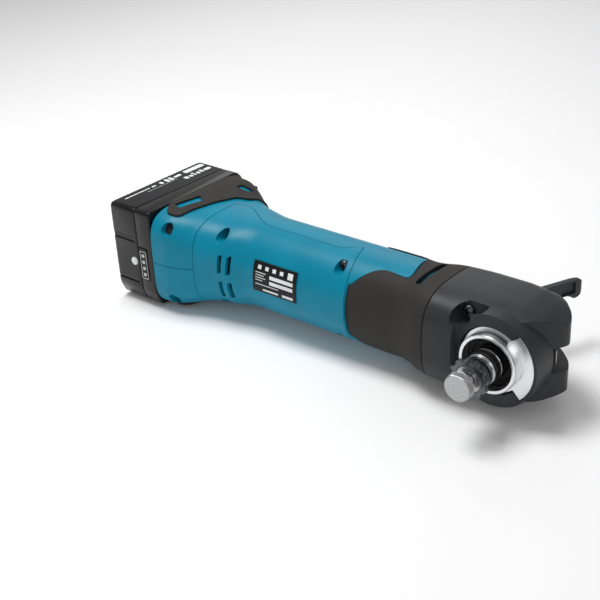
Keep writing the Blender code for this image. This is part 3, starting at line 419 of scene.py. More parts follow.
cover = closed_mesh("cover", barrel_grid(BARREL_FORM, -240.0, -108.6, step=1.5, around=160))
cover_hollow = closed_mesh("cover_hollow", barrel_grid(BARREL_FORM, -275.0, -100.0, -WALL, step=6))
shaped(cover, "DIFFERENCE", cover_hollow)
# The bosses stop this much under the outer surface, in mm.
BOSS_INSET = -0.2
for x in SCREW_STATIONS:
    for side in (1, -1):
        boss = bar("boss", "Y", (x, side * SCREW_Z), 6.0, -40, SCREW_SEAT + 8.6)
        boss_rings = barrel_grid(BARREL_FORM, -262, -104, BOSS_INSET, step=6)
        shaped(boss, "INTERSECT", closed_mesh("boss_limit", boss_rings))
        shaped(cover, "UNION", boss)
shaped(cover, "INTERSECT", slab("cover_outline", rounded(COVER_OUTLINE, 3.5), -60, 60))
for x in SCREW_STATIONS:
    for side in (1, -1):
        shaped(cover, "DIFFERENCE", bar("counterbore", "Y", (x, side * SCREW_Z), 4.0, -60, SCREW_SEAT))
        shaped(cover, "DIFFERENCE", bar("screw_hole", "Y", (x, side * SCREW_Z), 1.9, -60, 12, around=24))
for x in (-216.6, -209.6):
    for z in (-11.2, 8.2):
        corners = [(x, z - 7.0), (x + 3.4, z - 6.2), (x + 3.8, z + 7.0), (x + 0.4, z + 6.2)]
        shaped(cover, "DIFFERENCE", slab("vent", rounded(corners, 1.2), -60, -20, axis="Y"))
settled(cover, "motor_cover_moulding", nylon_teal, "tool_body", ["motor_cover"])


def metal(name, hex_colour, roughness, line_mm, relief_mm, centre=None, axis=1, edge_mm=0.25):
    """Bare metal. With a centre it has rings line_mm apart round that axis, by noise on radius plus station,
    else a random ground grain of that size. Both are coarser than the real ones, so that they show."""
    made = bpy.data.materials.new(name)
    made.use_nodes = True
    tree = made.node_tree
    shader = tree.nodes["Principled BSDF"]
    shader.inputs["Metallic"].default_value = 1.0
    coords = add(tree, "ShaderNodeTexCoord")
    if centre is None:
        lines = add(
            tree, "ShaderNodeTexNoise", {"Scale": 1000 / line_mm, "Detail": 2.0},
            {"Vector": coords.outputs["Object"]},
        )
    else:
        shift = [-c for c in centre]
        flat = [1.0, 1.0, 1.0]
        flat[axis] = 0.0
        centred = add(
            tree, "ShaderNodeVectorMath", {"operation": "ADD", 1: shift}, {0: coords.outputs["Object"]},
        )
        across = add(
            tree, "ShaderNodeVectorMath", {"operation": "MULTIPLY", 1: flat}, {0: centred.outputs["Vector"]},
        )
        radius = add(tree, "ShaderNodeVectorMath", {"operation": "LENGTH"}, {0: across.outputs["Vector"]})
        place = add(tree, "ShaderNodeSeparateXYZ", None, {"Vector": centred.outputs["Vector"]})
        sideways = add(
            tree, "ShaderNodeMath", {"operation": "ADD"},
            {0: radius.outputs["Value"], 1: place.outputs[axis]},
        )
        lines = add(
            tree, "ShaderNodeTexNoise", {"noise_dimensions": "1D", "Scale": 1000 / line_mm, "Detail": 2.0},
            {"W": sideways.outputs["Value"]},
        )
    gloss = add(
        tree, "ShaderNodeMapRange",
        {"From Min": 0.3, "From Max": 0.7, "To Min": roughness - 0.07, "To Max": roughness + 0.09},
        {"Value": lines.outputs["Fac"]},
    )
    ramp = add(tree, "ShaderNodeValToRGB", None, {"Fac": lines.outputs["Fac"]})
    ramp.color_ramp.elements[0].position = 0.3
    ramp.color_ramp.elements[1].position = 0.7
    ramp.color_ramp.elements[0].color = linear(hex_colour, 0.86)
    ramp.color_ramp.elements[1].color = linear(hex_colour, 1.05)
    edge = add(tree, "ShaderNodeBevel", {"samples": 4, "Radius": edge_mm / 1000})
    bump = add(
        tree, "ShaderNodeBump", {"Strength": 0.5, "Distance": relief_mm / 1000},
        {"Height": lines.outputs["Fac"], "Normal": edge.outputs["Normal"]},
    )
    tree.links.new(ramp.outputs["Color"], shader.inputs["Base Color"])
    tree.links.new(gloss.outputs["Result"], shader.inputs["Roughness"])
    tree.links.new(bump.outputs["Normal"], shader.inputs["Normal"])
    return made


# Blackened screw steel, with a slightly mottled oxide.
screw_steel = metal("blackened_screw_steel", "55565A", 0.36, 0.4, 0.01)


def lathe(name, axis, profile, centre=(0.0, 0.0), around=64, wobble=None):
    """Each (radius, station) of a profile carried round an axis; a wobble adds to the radius by angle."""
    points = np.array(profile, float)
    turn = 2 * np.pi * np.arange(around) / around
    radius = np.repeat(points[:, :1], around, axis=1)
    if wobble is not None:
        radius = radius + wobble(points, turn)
    first, second, along = {"X": (1, 2, 0), "Y": (0, 2, 1), "Z": (0, 1, 2)}[axis]
    rings = np.zeros((len(points), around, 3))
    rings[:, :, first] = centre[0] + radius * np.cos(turn)
    rings[:, :, second] = centre[1] + radius * np.sin(turn)
    rings[:, :, along] = points[:, 1:]
    return closed_mesh(name, rings)


def pan_screw(name, x, seat, z, head_radius, shank, length):
    """A pan head with a domed rim and a cross recess, over a plain shank."""
    top = seat - head_radius * 0.62
    profile = [
        (0.4, seat + length), (shank, seat + length - 1), (shank, seat), (head_radius, seat),
        (head_radius, seat - head_radius * 0.28), (head_radius * 0.86, top + head_radius * 0.12),
        (head_radius * 0.6, top), (0.2, top),
    ]
    made = lathe(name, "Y", profile, (x, z), around=40)
    arm, half = head_radius * 0.62, head_radius * 0.13
    outside, floor_level = top - 3, top + head_radius * 0.42
    for across, up in ((arm, half), (half, arm)):
        recess = block("recess", (x - across, outside, z - up), (x + across, floor_level, z + up))
        shaped(made, "DIFFERENCE", recess)
    return made


screw_count = 0
for x in SCREW_STATIONS:
    for side in (1, -1):
        screw_count += 1
        made = pan_screw("screw", x, SCREW_SEAT - 0.3, side * SCREW_Z, 3.3, 1.55, 11.0)
        node_name = f"cover_screw_{screw_count}"
        settled(made, f"{node_name}_turned", screw_steel, "tool_body", [node_name])


for number, side in enumerate((1, -1), 1):
    x, y, z = REAR_SCREW
    made = pan_screw("screw", x, y - 0.05, side * z, 3.3, 1.5, 3.4)
    settled(made, f"rear_screw_{number}_turned", screw_steel, "tool_body")


def on_barrel(name, x_span, z_span, lift, thickness, across=24, form=BARREL_FORM):
    """A patch on the barrel's spindle side, y = -a (1 - |z/b|^p)^(1/p) for each x and z, with a thin edge."""
    x = np.linspace(*x_span, across)
    z = np.linspace(*z_span, across)
    low, _, half, power = (column[:, None] for column in form_at(form, x, 3.0).T)
    sheets = []
    for grow in (lift, lift + thickness):
        y = -(low + grow) * (1 - np.abs(z[None, :] / (half + grow)) ** power) ** (1 / power)
        stations, heights = np.broadcast_to(x[:, None], y.shape), np.broadcast_to(z[None, :], y.shape)
        sheets.append(np.stack([stations, y, heights], axis=2))
    inner, outer = sheets
    count = across * across
    index = np.arange(count).reshape(across, across)
    border = np.concatenate([index[:, 0], index[-1, 1:], index[-2::-1, -1], index[0, -2:0:-1]])
    corners = [index[:-1, :-1], index[1:, :-1], index[1:, 1:], index[:-1, 1:]]
    quads = np.stack(corners, axis=2).reshape(-1, 4)
    nxt = np.roll(border, -1)
    edge = np.stack([border, nxt, nxt + count, border + count], axis=1)
    mesh = bpy.data.meshes.new(name)
    points = np.concatenate([inner.reshape(-1, 3), outer.reshape(-1, 3)])
    faces = quads[:, ::-1].tolist() + (quads + count).tolist() + edge.tolist()
    mesh.from_pydata(points.tolist(), [], faces)
    outward(mesh)
    return in_scene(name, mesh)


# Printed polyester film: near black with a soft sheen, and its print in white ink.
label_film = moulded("printed_label_film", "17181A", 0.3, 1.2, 0.01, edge_mm=0.1)
label_ink = moulded("white_label_ink", "E6E8E8", 0.45, 0.8, 0.005, edge_mm=0.05)
plate = on_barrel("plate", (-187.0, -149.0), (-4.6, 16.8), 0.35, 0.4)
settled(plate, "nameplate_film", label_film, "tool_body", ["nameplate"])
# Its print, as plain blocks: each is a span along the barrel and a span of height.
NAMEPLATE_MARKS = [
    ((-156.5, -152.0), (10.9, 15.2)), ((-163.5, -160.5), (12.0, 14.6)), ((-170.0, -167.0), (12.0, 14.6)),
    ((-176.5, -173.5), (12.0, 14.6)), ((-183.0, -180.0), (12.0, 14.6)), ((-172.0, -151.5), (6.9, 9.4)),
    ((-172.0, -151.5), (2.9, 5.4)), ((-184.5, -175.5), (9.4, 9.9)), ((-184.5, -177.0), (7.6, 8.1)),
    ((-184.5, -175.5), (5.8, 6.3)), ((-184.5, -178.0), (4.0, 4.5)), ((-184.5, -164.0), (1.0, 1.5)),
    ((-178.0, -164.5), (-3.0, -1.7)), ((-161.0, -151.5), (-3.2, -1.4)),
]
for number, (x_span, z_span) in enumerate(NAMEPLATE_MARKS, 1):
    made = on_barrel("mark", x_span, z_span, 0.78, 0.04, across=5)
    settled(made, f"nameplate_mark_{number}", label_ink, "tool_body")


# ---- Rubber: rear bumper, top strip and front grip -----------------------------------------------
# Thermoplastic rubber moulded over the nylon: a warm dark grey with a fine matt grain. The bumper wraps the
# battery's end, and the front grip is a full sleeve with an opening for the nylon tongue and an air slot.

# Thermoplastic rubber: broad soft highlights over a 0.45 mm spark grain, and well rounded edges.
rubber = moulded("overmoulded_rubber", "302E2C", 0.62, 0.45, 0.07, edge_mm=0.8)
BUMPER_OUTLINE = [
    (-268.4, -28), (-262.0, -38), (-252.0, -36), (-245.5, -4), (-240.0, 13), (-232.5, 18), (-232.5, 70),
    (-268.4, 70),
]
bumper = closed_mesh("bumper", barrel_grid(BARREL_FORM, -268.4, -230.0, 1.6, step=1.5, around=160))
bumper_back = barrel_grid(BARREL_FORM, -275.0, -225.0, 0.3, step=1.5, around=160)
shaped(bumper, "DIFFERENCE", closed_mesh("bumper_back", bumper_back))
shaped(bumper, "INTERSECT", slab("bumper_outline", rounded(BUMPER_OUTLINE, 4.0), -60, 60))
shaped(bumper, "DIFFERENCE", block("bumper_mouth", (-280, 20, -28.5), (-253.7, 80, 28.5)))
shaped(bumper, "DIFFERENCE", block("dial_room", (-240.5, 10, -8), (-200, 80, 8)))
NEAR_WINDOW = [(-264.5, -27), (-257.5, -29), (-252.5, -10), (-259.5, -6)]
FAR_WINDOW = [(-251.0, 23), (-241.5, 26), (-241.5, 33), (-251.0, 30)]
for outline in (NEAR_WINDOW, FAR_WINDOW):
    shaped(bumper, "DIFFERENCE", slab("window", rounded(outline, 2.0), -60, 60))
settled(bumper, "rear_bumper_rubber", rubber, "tool_body", ["rear_bumper"])

STRIP_PLAN = [
    (-208, -7), (-200, -13), (-118, -15), (-109.2, -16), (-109.2, 16), (-118, 15), (-200, 13), (-208, 7),
]
strip = closed_mesh("strip", barrel_grid(BARREL_FORM, -208.0, -109.2, 1.5, around=160))
strip_back = barrel_grid(BARREL_FORM, -215.0, -100.0, 0.3, around=160)
shaped(strip, "DIFFERENCE", closed_mesh("strip_back", strip_back))
shaped(strip, "INTERSECT", slab("strip_plan", rounded(STRIP_PLAN, 4.0), 5, 60, axis="Y"))
window = block("switch_window", (SWITCH_X - 8.5, 20, -7.2), (SWITCH_X + 8.5 + SWITCH_TRAVEL, 60, 7.2))
shaped(strip, "DIFFERENCE", window)
settled(strip, "top_grip_rubber", rubber, "tool_body", ["top_grip"])

GRIP_FORM = np.array([
    (-108.3, 30.6, 32.8, 32.5, 2.2), (-100.0, 30.4, 32.8, 32.4, 2.3), (-80.0, 30.2, 32.4, 32.0, 2.4),
    (-71.0, 30.0, 31.2, 31.0, 2.5), (-63.0, 31.6, 31.8, 31.4, 2.6), (-54.0, 35.0, 33.4, 32.2, 2.9),
    (-45.3, 36.2, 34.2, 32.6, 3.0),
])
VENT_SLOT = [(-63.2, -17), (-58.6, -17), (-57.6, 14), (-62.2, 14)]
grip = closed_mesh("grip", barrel_grid(GRIP_FORM, -108.3, -45.4, step=1.2, around=160))
shaped(grip, "DIFFERENCE", closed_mesh("grip_bore", barrel_grid(SLEEVE_FORM, -120, -50, 0.3, step=20)))
ROOM_FORM = np.array([(-61.5, 28.0, 29.2, 28.6, 2.3), (-40.0, 32.2, 30.2, 28.9, 2.8)])
shaped(grip, "DIFFERENCE", closed_mesh("grip_room", barrel_grid(ROOM_FORM, -61.5, -40.0, step=4)))
shaped(grip, "DIFFERENCE", slab("tongue_room", grown(rounded(TONGUE_OUTLINE, 3.0), SEAM), -60, 60))
for side in (1, -1):
    low, high = sorted((side * 18, side * 60))
    shaped(grip, "DIFFERENCE", slab("air_slot", rounded(VENT_SLOT, 2.0), low, high))
shaped(grip, "DIFFERENCE", block("lever_channel", (-70, 30.9, -8.6), (-30, 60, 8.6)))
settled(grip, "front_grip_rubber", rubber, "tool_body", ["front_grip"])


# ---- Gear head -----------------------------------------------------------------------------------
# A charcoal nylon cap over the gear case. Two wings reach forward past the spindle, with the lever's slot
# between them. Below it a round nose holds the bearing box.

# The same filled nylon as the barrel in charcoal: satin, with a highlight that fades along each wing.
nylon_charcoal = moulded("moulded_nylon_charcoal", "323335", 0.42, 0.6, 0.05)
HEAD_FORM = np.array([
    (-44.7, 36.2, 34.2, 32.6, 3.0), (-30.0, 36.6, 35.6, 32.8, 3.0), (-5.0, 34.6, 35.8, 32.6, 3.0),
    (10.0, 33.0, 35.0, 31.6, 2.9), (24.0, 33.0, 34.0, 28.6, 2.7), (40.0, 33.0, 33.0, 21.0, 2.5),
])
HEAD_OUTLINE = [
    (-60, -50), (-24.5, -50), (-23.5, -28.2), (0, -28.2), (14, -22), (24, -13), (31, -7), (34.6, -1), (35, 3),
    (31, 10.5), (21, 20.5), (9, 28.5), (-4, 34), (-20, 40), (-60, 40),
]
LEVER_SLOT = [(-42.6, 13.2), (-2, 13.2), (10, 11.4), (21, 7.6), (25.5, -9), (60, -9), (60, 60), (-42.6, 60)]
HEAD_SCREW = (-21.5, -19.0, 24.0)
head = closed_mesh("head", barrel_grid(HEAD_FORM, -44.7, 40.0, step=1.2, around=176))
shaped(head, "INTERSECT", slab("head_outline", rounded(HEAD_OUTLINE, 5.0, 7), -60, 60))
shaped(head, "UNION", bar("nose", "Y", (0, 0), 30.8, -28.6, -6.0, around=128))
shaped(head, "DIFFERENCE", slab("lever_slot", rounded(LEVER_SLOT, 2.5), -8.6, 8.6))
shaped(head, "DIFFERENCE", block("head_channel", (-60, 30.9, -8.6), (-30, 60, 8.6)))
shaped(head, "DIFFERENCE", block("gear_room", (-60, -16.0, -24.5), (0, 11.3, 24.5)))
shaped(head, "DIFFERENCE", bar("gear_room_round", "Y", (0, 0), 20.0, -60, 10.0))
shaped(head, "DIFFERENCE", bar("collar_room", "Y", (0, 0), 22.6, -60, -20.0, around=96))
lobe_turn = np.radians(np.arange(-46, 51, 4))
LOBE_RADIUS = 28.6
lobe_arc = np.stack([LOBE_RADIUS * np.cos(lobe_turn), LOBE_RADIUS * np.sin(lobe_turn)], axis=1)
LOBE_OUTLINE = [(12, -12), *lobe_arc.tolist(), (8, 14)]
shaped(head, "DIFFERENCE", slab("lobe_room", grown(LOBE_OUTLINE, 0.5), -60, -23.4, axis="Y"))
for side in (1, -1):
    x, y, z = HEAD_SCREW
    shaped(head, "DIFFERENCE", bar("screw_pocket", "Y", (x, side * z), 6.4, -60, y))
    low, high = sorted((side * 20.5, side * 60))
    shaped(head, "DIFFERENCE", block("screw_slot", (x, y - 9, low), (x + 14, y, high)))
    shaped(head, "DIFFERENCE", bar("screw_way", "Y", (x, side * z), 2.2, -60, 12, around=20))
shaped(head, "DIFFERENCE", bar("pin_hole", "Z", (-34.5, 27.0), 2.8, -24.5, 24.5))
shaped(head, "DIFFERENCE", bar("rocker_hole", "Z", (-14.0, 18.6), 2.3, -14.2, 14.2))
shaped(head, "DIFFERENCE", bar("rod_way", "Y", (0, 0), 3.0, 0, 20, around=24))
shaped(head, "DIFFERENCE", block("catch_room", (20.0, -12, -4.9), (26.8, 7, 4.9)))
settled(head, "head_cover_moulding", nylon_charcoal, "tool_body", ["head_cover"])

for number, side in ((1, 1), (2, -1)):
    x, y, z = HEAD_SCREW
    made = pan_screw("screw", x, y - 0.3, side * z, 4.2, 1.9, 15.5)
    node_name = f"head_screw_{number}"
    settled(made, f"{node_name}_turned", screw_steel, "tool_body", [node_name])


# ---- Bearing box and collar ----------------------------------------------------------------------
# Die-cast aluminium, turned bright on its collar and lobe, where accessories clamp. The turning leaves fine
# rings round the spindle's axis. A black lip seal closes the gap to the spindle.

AXIS = tuple(ORIGIN.tolist())
# Turned aluminium: near white, with fine rings that draw a bright streak across the collar and the lobe.
bright_collar = metal("turned_aluminium", "EDEEEF", 0.27, 0.9, 0.012, centre=AXIS)
COLLAR_PROFILE = [
    (15.0, -13.8), (15.9, -13.8), (15.9, -20.5), (21.6, -20.5), (21.6, -26.5), (19.6, -26.5), (19.6, -33.3),
    (19.35, -33.8), (18.9, -34.0), (17.7, -34.0), (17.35, -33.85), (17.2, -33.4), (17.2, -23.0),
    (13.6, -23.0), (13.6, -22.4), (15.0, -22.4),
]


def hollow_lathe(name, axis, profile, centre=(0.0, 0.0), around=128):
    """A ring: a closed profile of (radius, station) points carried round an axis, joined to its own start."""
    points = np.array(profile, float)
    turn = 2 * np.pi * np.arange(around) / around
    first, second, along = {"X": (1, 2, 0), "Y": (0, 2, 1), "Z": (0, 1, 2)}[axis]
    rings = np.zeros((len(points), around, 3))
    rings[:, :, first] = centre[0] + points[:, :1] * np.cos(turn)
    rings[:, :, second] = centre[1] + points[:, :1] * np.sin(turn)
    rings[:, :, along] = points[:, 1:]
    index = np.arange(len(points) * around).reshape(len(points), around)
    nxt = np.roll(index, -1, axis=1)
    ahead, ahead_nxt = np.roll(index, -1, axis=0), np.roll(nxt, -1, axis=0)
    quads = np.stack([index, nxt, ahead_nxt, ahead], axis=2).reshape(-1, 4)
    mesh = bpy.data.meshes.new(name)
    mesh.from_pydata(rings.reshape(-1, 3).tolist(), [], quads.tolist())
    outward(mesh)
    return in_scene(name, mesh)


collar = hollow_lathe("collar", "Y", COLLAR_PROFILE)
lobe = slab("lobe", LOBE_OUTLINE, -28.0, -24.0, axis="Y")
shaped(lobe, "DIFFERENCE", bar("lobe_bore", "Y", (0, 0), 18.5, -60, 20, around=96))
shaped(collar, "UNION", lobe)
settled(collar, "bearing_box_turned", bright_collar, "tool_body", ["bearing_box"])
# Nitrile rubber, flat and black, so that the gap round the spindle stays dark.
seal_rubber = moulded("nitrile_seal", "141414", 0.55, 0.3, 0.03, edge_mm=0.3)
SEAL_PROFILE = [
    (16.8, -23.4), (16.8, -26.5), (14.6, -26.5), (13.8, -25.6), (12.6, -25.6), (10.9, -26.3), (10.9, -23.4),
]
seal = hollow_lathe("seal", "Y", SEAL_PROFILE)
settled(seal, "dust_seal_lip", seal_rubber, "tool_body", ["dust_seal"])


# ---- Spindle, clamp flange and holder bolt -------------------------------------------------------
# Ground alloy steel. The spindle is stepped, with an oil ring in its groove; the clamp flange has twelve
# teeth that key an accessory, and the holder bolt's head is knurled for the fingers.

# Ground steel: mid grey with sharp streaks along its steps.
ground_steel = metal("ground_spindle_steel", "B2B2B4", 0.22, 1.3, 0.01, centre=AXIS)
SPINDLE_PROFILE = [
    (4.4, 8.9), (7.0, 8.9), (7.0, 3.1), (9.5, 3.1), (9.5, -5.2), (10.4, -5.2), (10.4, -13.7), (8.0, -13.7),
    (8.0, -22.6), (10.4, -22.6), (10.4, -33.1), (10.1, -33.4), (9.1, -33.4), (9.1, -35.4), (9.9, -35.4),
    (10.2, -35.7), (10.2, -40.3), (9.3, -41.4), (9.3, -43.9), (8.5, -43.9), (8.5, -53.6), (4.4, -53.6),
]
spindle = hollow_lathe("spindle", "Y", SPINDLE_PROFILE)
settled(spindle, "spindle_ground", ground_steel, "spindle_set", ["spindle"])
ring_turn = np.linspace(0, 2 * np.pi, 17)[:-1]
O_RING = np.stack([10.05 + 0.62 * np.cos(ring_turn), -34.4 + 0.66 * np.sin(ring_turn)], axis=1)
oil_ring = hollow_lathe("oil_ring", "Y", O_RING)
settled(oil_ring, "spindle_o_ring_moulded", seal_rubber, "spindle_set", ["spindle_o_ring"])

tooth_turn = 2 * np.pi * (np.arange(48) + 0.5) / 48
tooth_reach = np.where(np.arange(48) % 4 < 2, 12.9, 11.3)
TEETH = np.stack([tooth_reach * np.cos(tooth_turn), tooth_reach * np.sin(tooth_turn)], axis=1).tolist()
flange = slab("flange", rounded(TEETH, 0.35, 3), -54.0, -50.5, axis="Y")
shaped(flange, "UNION", bar("flange_cone", "Y", (0, 0), 11.9, -51.5, -44.3, around=96, end_radius=10.2))
shaped(flange, "DIFFERENCE", bar("flange_bore", "Y", (0, 0), 8.8, -60, -40, around=96))
# Hardened steel: darker than the spindle, so that the teeth stand out against the bolt's head.
flange_steel = metal("hardened_flange_steel", "68696C", 0.3, 1.3, 0.01, centre=AXIS)
settled(flange, "clamp_flange_milled", flange_steel, "spindle_set", ["clamp_flange"])

# Zinc-bright steel: a flat light grey end with faint turning rings.
bolt_steel = metal("knurled_bolt_steel", "B4B4B5", 0.3, 1.1, 0.01, centre=AXIS)
KNURLS = 54
KNURL_DEPTH = 0.32


def knurl(points, turn):
    """Ridges round the bolt's head: the radius falls by the depth times |sin(KNURLS / 2 times the angle)|."""
    on_band = (points[:, :1] > 8.5) & (points[:, 1:] < -61.2) & (points[:, 1:] > -65.8)
    return -KNURL_DEPTH * on_band * np.abs(np.sin(turn * KNURLS / 2))[None, :]


BOLT_PROFILE = [
    (0.3, -20.0), (3.4, -20.0), (4.0, -21.0), (4.0, -59.2), (6.4, -59.2), (7.4, -60.6), (8.5, -60.6),
    (8.9, -61.0),
    (8.9, -61.4), (8.9, -63.0), (8.9, -65.0), (8.9, -65.6), (8.3, -66.2), (7.6, -66.3), (0.3, -66.3),
]
bolt = lathe("bolt", "Y", BOLT_PROFILE, around=216, wobble=knurl)
settled(bolt, "holder_bolt_turned", bolt_steel, "bolt", ["holder_bolt"])


# ---- Clamp lever ---------------------------------------------------------------------------------
# A charcoal nylon arm, moulded round a hub that turns on a steel pin. Its outer face has a long channel
# and a dished end for the finger. A sprung steel catch stands in the slot's mouth.

LEVER_PIVOT = (-34.5, 27.0)
LEVER_ANGLE = math.radians(66.8)


def lever_points(outline):
    """(u, v) points of the arm, u along it and v to its inner side, turned by its open angle at its pivot."""
    points = np.array(outline, float)
    c, s = math.cos(LEVER_ANGLE), math.sin(LEVER_ANGLE)
    turned = np.stack([points[:, 0] * c - points[:, 1] * s, points[:, 0] * s + points[:, 1] * c], axis=1)
    return (turned + np.array(LEVER_PIVOT)).tolist()


LEVER_SIDE = [
    (-3.5, -4.8), (4, -8), (20, -8.8), (46, -8.3), (61, -8.0), (67.5, -7.2), (69.5, -5.6), (68, -4.2),
    (50, -3.9), (6, -3.0), (0, 2),
]
arm = slab("arm", rounded(lever_points(LEVER_SIDE), 1.5), -7.3, 7.3)
shaped(arm, "UNION", bar("hub", "Z", LEVER_PIVOT, 6.5, -7.3, 7.3, around=64))
shaped(arm, "DIFFERENCE", bar("pin_bore", "Z", LEVER_PIVOT, 2.9, -20, 20))
CHANNEL = [(18, -12), (18, -6.6), (43, -6.6), (43, -12)]
DISH = [(50, -12), (51, -6.2), (62, -6.0), (64, -12)]
ARM_PLAN = [
    (-9, -7.3), (40, -7.3), (47, -6.8), (50, -3.6), (54, -2.7), (58, -4.0), (61.5, -6.6), (66, -6.2),
    (69.2, -3.0), (69.6, 2.5), (67, 6.4), (60, 7.3), (-9, 7.3),
]
shaped(arm, "DIFFERENCE", slab("channel", lever_points(CHANNEL), -5.4, 5.4))
shaped(arm, "DIFFERENCE", slab("dish", lever_points(DISH), -2.5, 5.6))
plan = slab("arm_plan", rounded(ARM_PLAN, 2.0), -30, 30, axis="Y")
pivot_place = Matrix.Translation((*LEVER_PIVOT, 0))
plan.data.transform(pivot_place @ Matrix.Rotation(LEVER_ANGLE, 4, "Z"))
shaped(arm, "INTERSECT", plan)
settled(arm, "lever_moulding", nylon_charcoal, "lever_arm", ["lever"])


# ---- Battery pack --------------------------------------------------------------------------------
# Two halves of glossy black ABS, clamped round ten cells. The tray's flank carries a grey label, and the
# near end a check button beside a window over four lights.

# Polished ABS: near black, with crisp highlights along its rounded edges.
abs_black = moulded("polished_abs_black", "0F0F11", 0.24, 1.5, 0.012, coat=0.25, edge_mm=0.9)
PACK_Y = (-48.5, 51.5)
PACK_SPLIT = -285.0
PACK_OUTLINE = [
    (PACK_Y[0], -27.0), (PACK_Y[0], 35.5), (PACK_Y[0] + 2, 37.5), (PACK_Y[1] - 6, 37.5), (PACK_Y[1], 31.0),
    (PACK_Y[1], -31.0), (PACK_Y[1] - 6, -37.5), (PACK_Y[0] + 4.5, -37.5),
]


def pack_part(start, end):
    """The pack's outline carried along X, less a room for the cells that stops short of both ends."""
    shell = slab("shell", rounded(PACK_OUTLINE, 3.5, 7), start, end, axis="X")
    inside = slab("cell_room", grown(PACK_OUTLINE, -2.0), -308.4, -272.1, axis="X")
    edges = shell.modifiers.new("edges", "BEVEL")
    edges.width = 1.1
    edges.segments = 3
    edges.limit_method = "ANGLE"
    edges.angle_limit = math.radians(50)
    return shaped(shell, "DIFFERENCE", inside)


tray = pack_part(-310.0, PACK_SPLIT - 0.15)
shaped(tray, "DIFFERENCE", bar("check_room", "Y", (-290.2, -4.8), 3.5, -60, -40))
for low, high in ((10.5, 15.5), (-22.5, -20.5)):
    shaped(tray, "DIFFERENCE", block("flank_groove", (-320, -60, low), (-287.5, PACK_Y[0] + 0.9, high)))
settled(tray, "battery_tray_moulding", abs_black, "battery", ["battery_tray"])
lid = pack_part(PACK_SPLIT + 0.15, -270.3)
shaped(lid, "UNION", block("rail_neck", (-270.8, -40.0, -22.0), (-264.3, 51.0, 22.0)))
shaped(lid, "UNION", block("rail_head", (-264.8, -40.0, -27.0), (-255.2, 51.0, 27.0)))
shaped(lid, "DIFFERENCE", block("board_room", (-273, -36, -19), (-257.5, 36, 19)))
for z in (-12, -4, 4, 12):
    shaped(lid, "DIFFERENCE", block("blade_slot", (-262, -60, z - 1.2), (-250, 7.5, z + 1.2)))
shaped(lid, "DIFFERENCE", block("latch_room", (-269.2, 43.5, -13), (-240, 60, 13)))
shaped(lid, "DIFFERENCE", block("gauge_room", (-284.0, -60, -17.5), (-275.5, -47.0, 8.5)))
settled(lid, "battery_lid_moulding", abs_black, "battery", ["battery_lid"])

GAUGE_OUTLINE = [(-283.6, -17.1), (-275.9, -17.1), (-275.9, 8.1), (-283.6, 8.1)]
gauge = slab("gauge", rounded(GAUGE_OUTLINE, 1.2), -49.0, -47.3, axis="Y")
settled(gauge, "charge_gauge_window", label_film, "battery", ["charge_gauge"])
# Frosted polycarbonate over the lights: pale and slightly glossy.
light_plastic = moulded("frosted_light_window", "C9CCC8", 0.35, 0.6, 0.01, edge_mm=0.1)
for number, z in enumerate((-13.0, -8.0, -3.0, 2.0), 1):
    corners = [(-281.2, z - 1.2), (-278.6, z - 1.2), (-278.6, z + 1.2), (-281.2, z + 1.2)]
    light = slab("light", rounded(corners, 0.4), -49.12, -48.9, axis="Y")
    settled(light, f"charge_light_{number}", light_plastic, "battery")
GAUGE_FRAME = [
    (-283.0, -16.5, -282.7, 5.5), (-276.9, -16.5, -276.6, 5.5), (-283.0, 5.2, -276.6, 5.5),
    (-283.0, -16.5, -276.6, -16.2),
]
for number, (x0, z0, x1, z1) in enumerate(GAUGE_FRAME, 1):
    line = slab("line", [(x0, z0), (x1, z0), (x1, z1), (x0, z1)], -49.08, -48.9, axis="Y")
    settled(line, f"gauge_frame_{number}", label_ink, "battery")

# The latch's spring as the model has it, copied with its coincident points welded.
# Drawn wire: grey, with a faint lengthwise grain.
spring_wire = metal("drawn_spring_wire", "8E9093", 0.3, 0.6, 0.01)
spring_mesh = frame["nodes"]["latch_spring"].data.copy()
welded = bmesh.new()
welded.from_mesh(spring_mesh)
bmesh.ops.remove_doubles(welded, verts=welded.verts, dist=1e-6)
welded.to_mesh(spring_mesh)
welded.free()
spring_mesh.materials.clear()
spring_mesh.materials.append(spring_wire)
spring = in_scene("latch_spring_wound", spring_mesh)
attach(spring, "battery")
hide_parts("latch_spring")
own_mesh(spring)

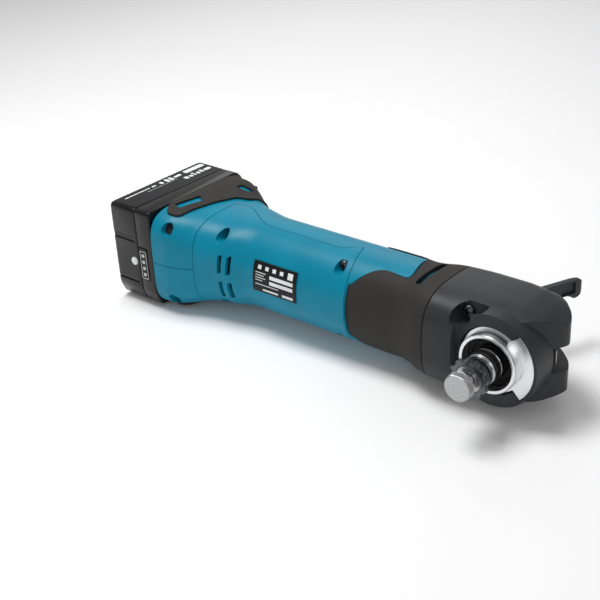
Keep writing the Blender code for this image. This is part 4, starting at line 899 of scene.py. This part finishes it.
# The label on the pack's upper flank: a satin grey film with white bars for its print, each given by two
# opposite corners.
# Satin polyester film: one step lighter than the case, and duller.
pack_film = moulded("satin_label_film", "232325", 0.38, 1.2, 0.01, edge_mm=0.1)
FLANK = 37.5
FILM_OUTLINE = [(-308.0, -45.5), (-287.0, -45.5), (-287.0, 44.0), (-308.0, 44.0)]
film = slab("film", rounded(FILM_OUTLINE, 1.5), FLANK, FLANK + 0.12)
settled(film, "pack_label_film", pack_film, "battery")
PACK_PRINT = [
    (-306.0, 22.0, -301.0, 42.0), (-306.0, 2.0, -300.4, 5.0), (-306.0, 6.2, -300.4, 9.2),
    (-304.6, 11.0, -301.8, 18.0),
    (-305.4, -3.6, -301.2, -1.0), (-304.4, -12.0, -302.6, -8.0), (-304.2, -39.0, -303.0, -14.0),
    (-297.0, 14.0, -292.6, 17.6), (-296.2, 19.0, -292.6, 22.0), (-298.4, 23.4, -292.6, 25.0),
    (-296.2, 26.6, -292.6, 29.6),
    (-297.4, 31.0, -292.6, 33.2), (-296.2, 34.6, -292.6, 41.0), (-299.4, -20.0, -299.1, 10.0),
]
for number, (x0, y0, x1, y1) in enumerate(PACK_PRINT, 1):
    corner = min(x1 - x0, y1 - y0) * 0.25
    outline = rounded([(x0, y0), (x1, y0), (x1, y1), (x0, y1)], corner, 3)
    mark = slab("mark", outline, FLANK + 0.1, FLANK + 0.16)
    settled(mark, f"pack_print_{number}", label_ink, "battery")
CHECK_PROFILE = [(0.2, -46.9), (3.1, -46.9), (3.1, -48.9), (2.8, -49.25), (1.9, -49.3), (0.2, -49.3)]
button = lathe("check", "Y", CHECK_PROFILE, (-290.2, -4.8))
settled(button, "check_button_cap", label_ink, "gauge_button", ["check_button"])

# ---- Inside and small metalwork ------------------------------------------------------------------
# What is left are the pieces whose plain form is already right: motor, gear case, cells, boards and pins.
# Each gets the finish of its own stock.

finishes = {
    "painted": nylon_teal,
    "charcoal": nylon_charcoal,
    "rubber": rubber,
    "pack_black": abs_black,
    "inner_black": moulded("glass_filled_black", "2A2A2C", 0.55, 0.6, 0.05),
    "bright": bright_collar,
    "steel": metal("ground_stock_steel", "A3A3A5", 0.28, 0.5, 0.01),
    "dark_steel": screw_steel,
    "cast": metal("sand_grained_casting", "A9ABAD", 0.48, 0.7, 0.06),
    "copper": metal("enamelled_copper_wire", "B0673A", 0.33, 0.9, 0.12),
    "lamination": metal("stacked_laminations", "7B7D80", 0.42, 0.5, 0.05),
    "board": moulded("solder_masked_board", "1F5A3A", 0.42, 1.0, 0.02),
    "cell_wrap": moulded("shrink_film", "3D7F6A", 0.35, 1.2, 0.02),
    "white": moulded("acetal_white", "E4E4E0", 0.4, 0.8, 0.02),
    "label": label_film,
    "seal": seal_rubber,
}
slots = {part["node"]: part["material_slot"] for part in frame["record"]["subparts"]}
for node_name, node_object in frame["nodes"].items():
    node_object.data.materials.clear()
    node_object.data.materials.append(finishes[slots[node_name]])
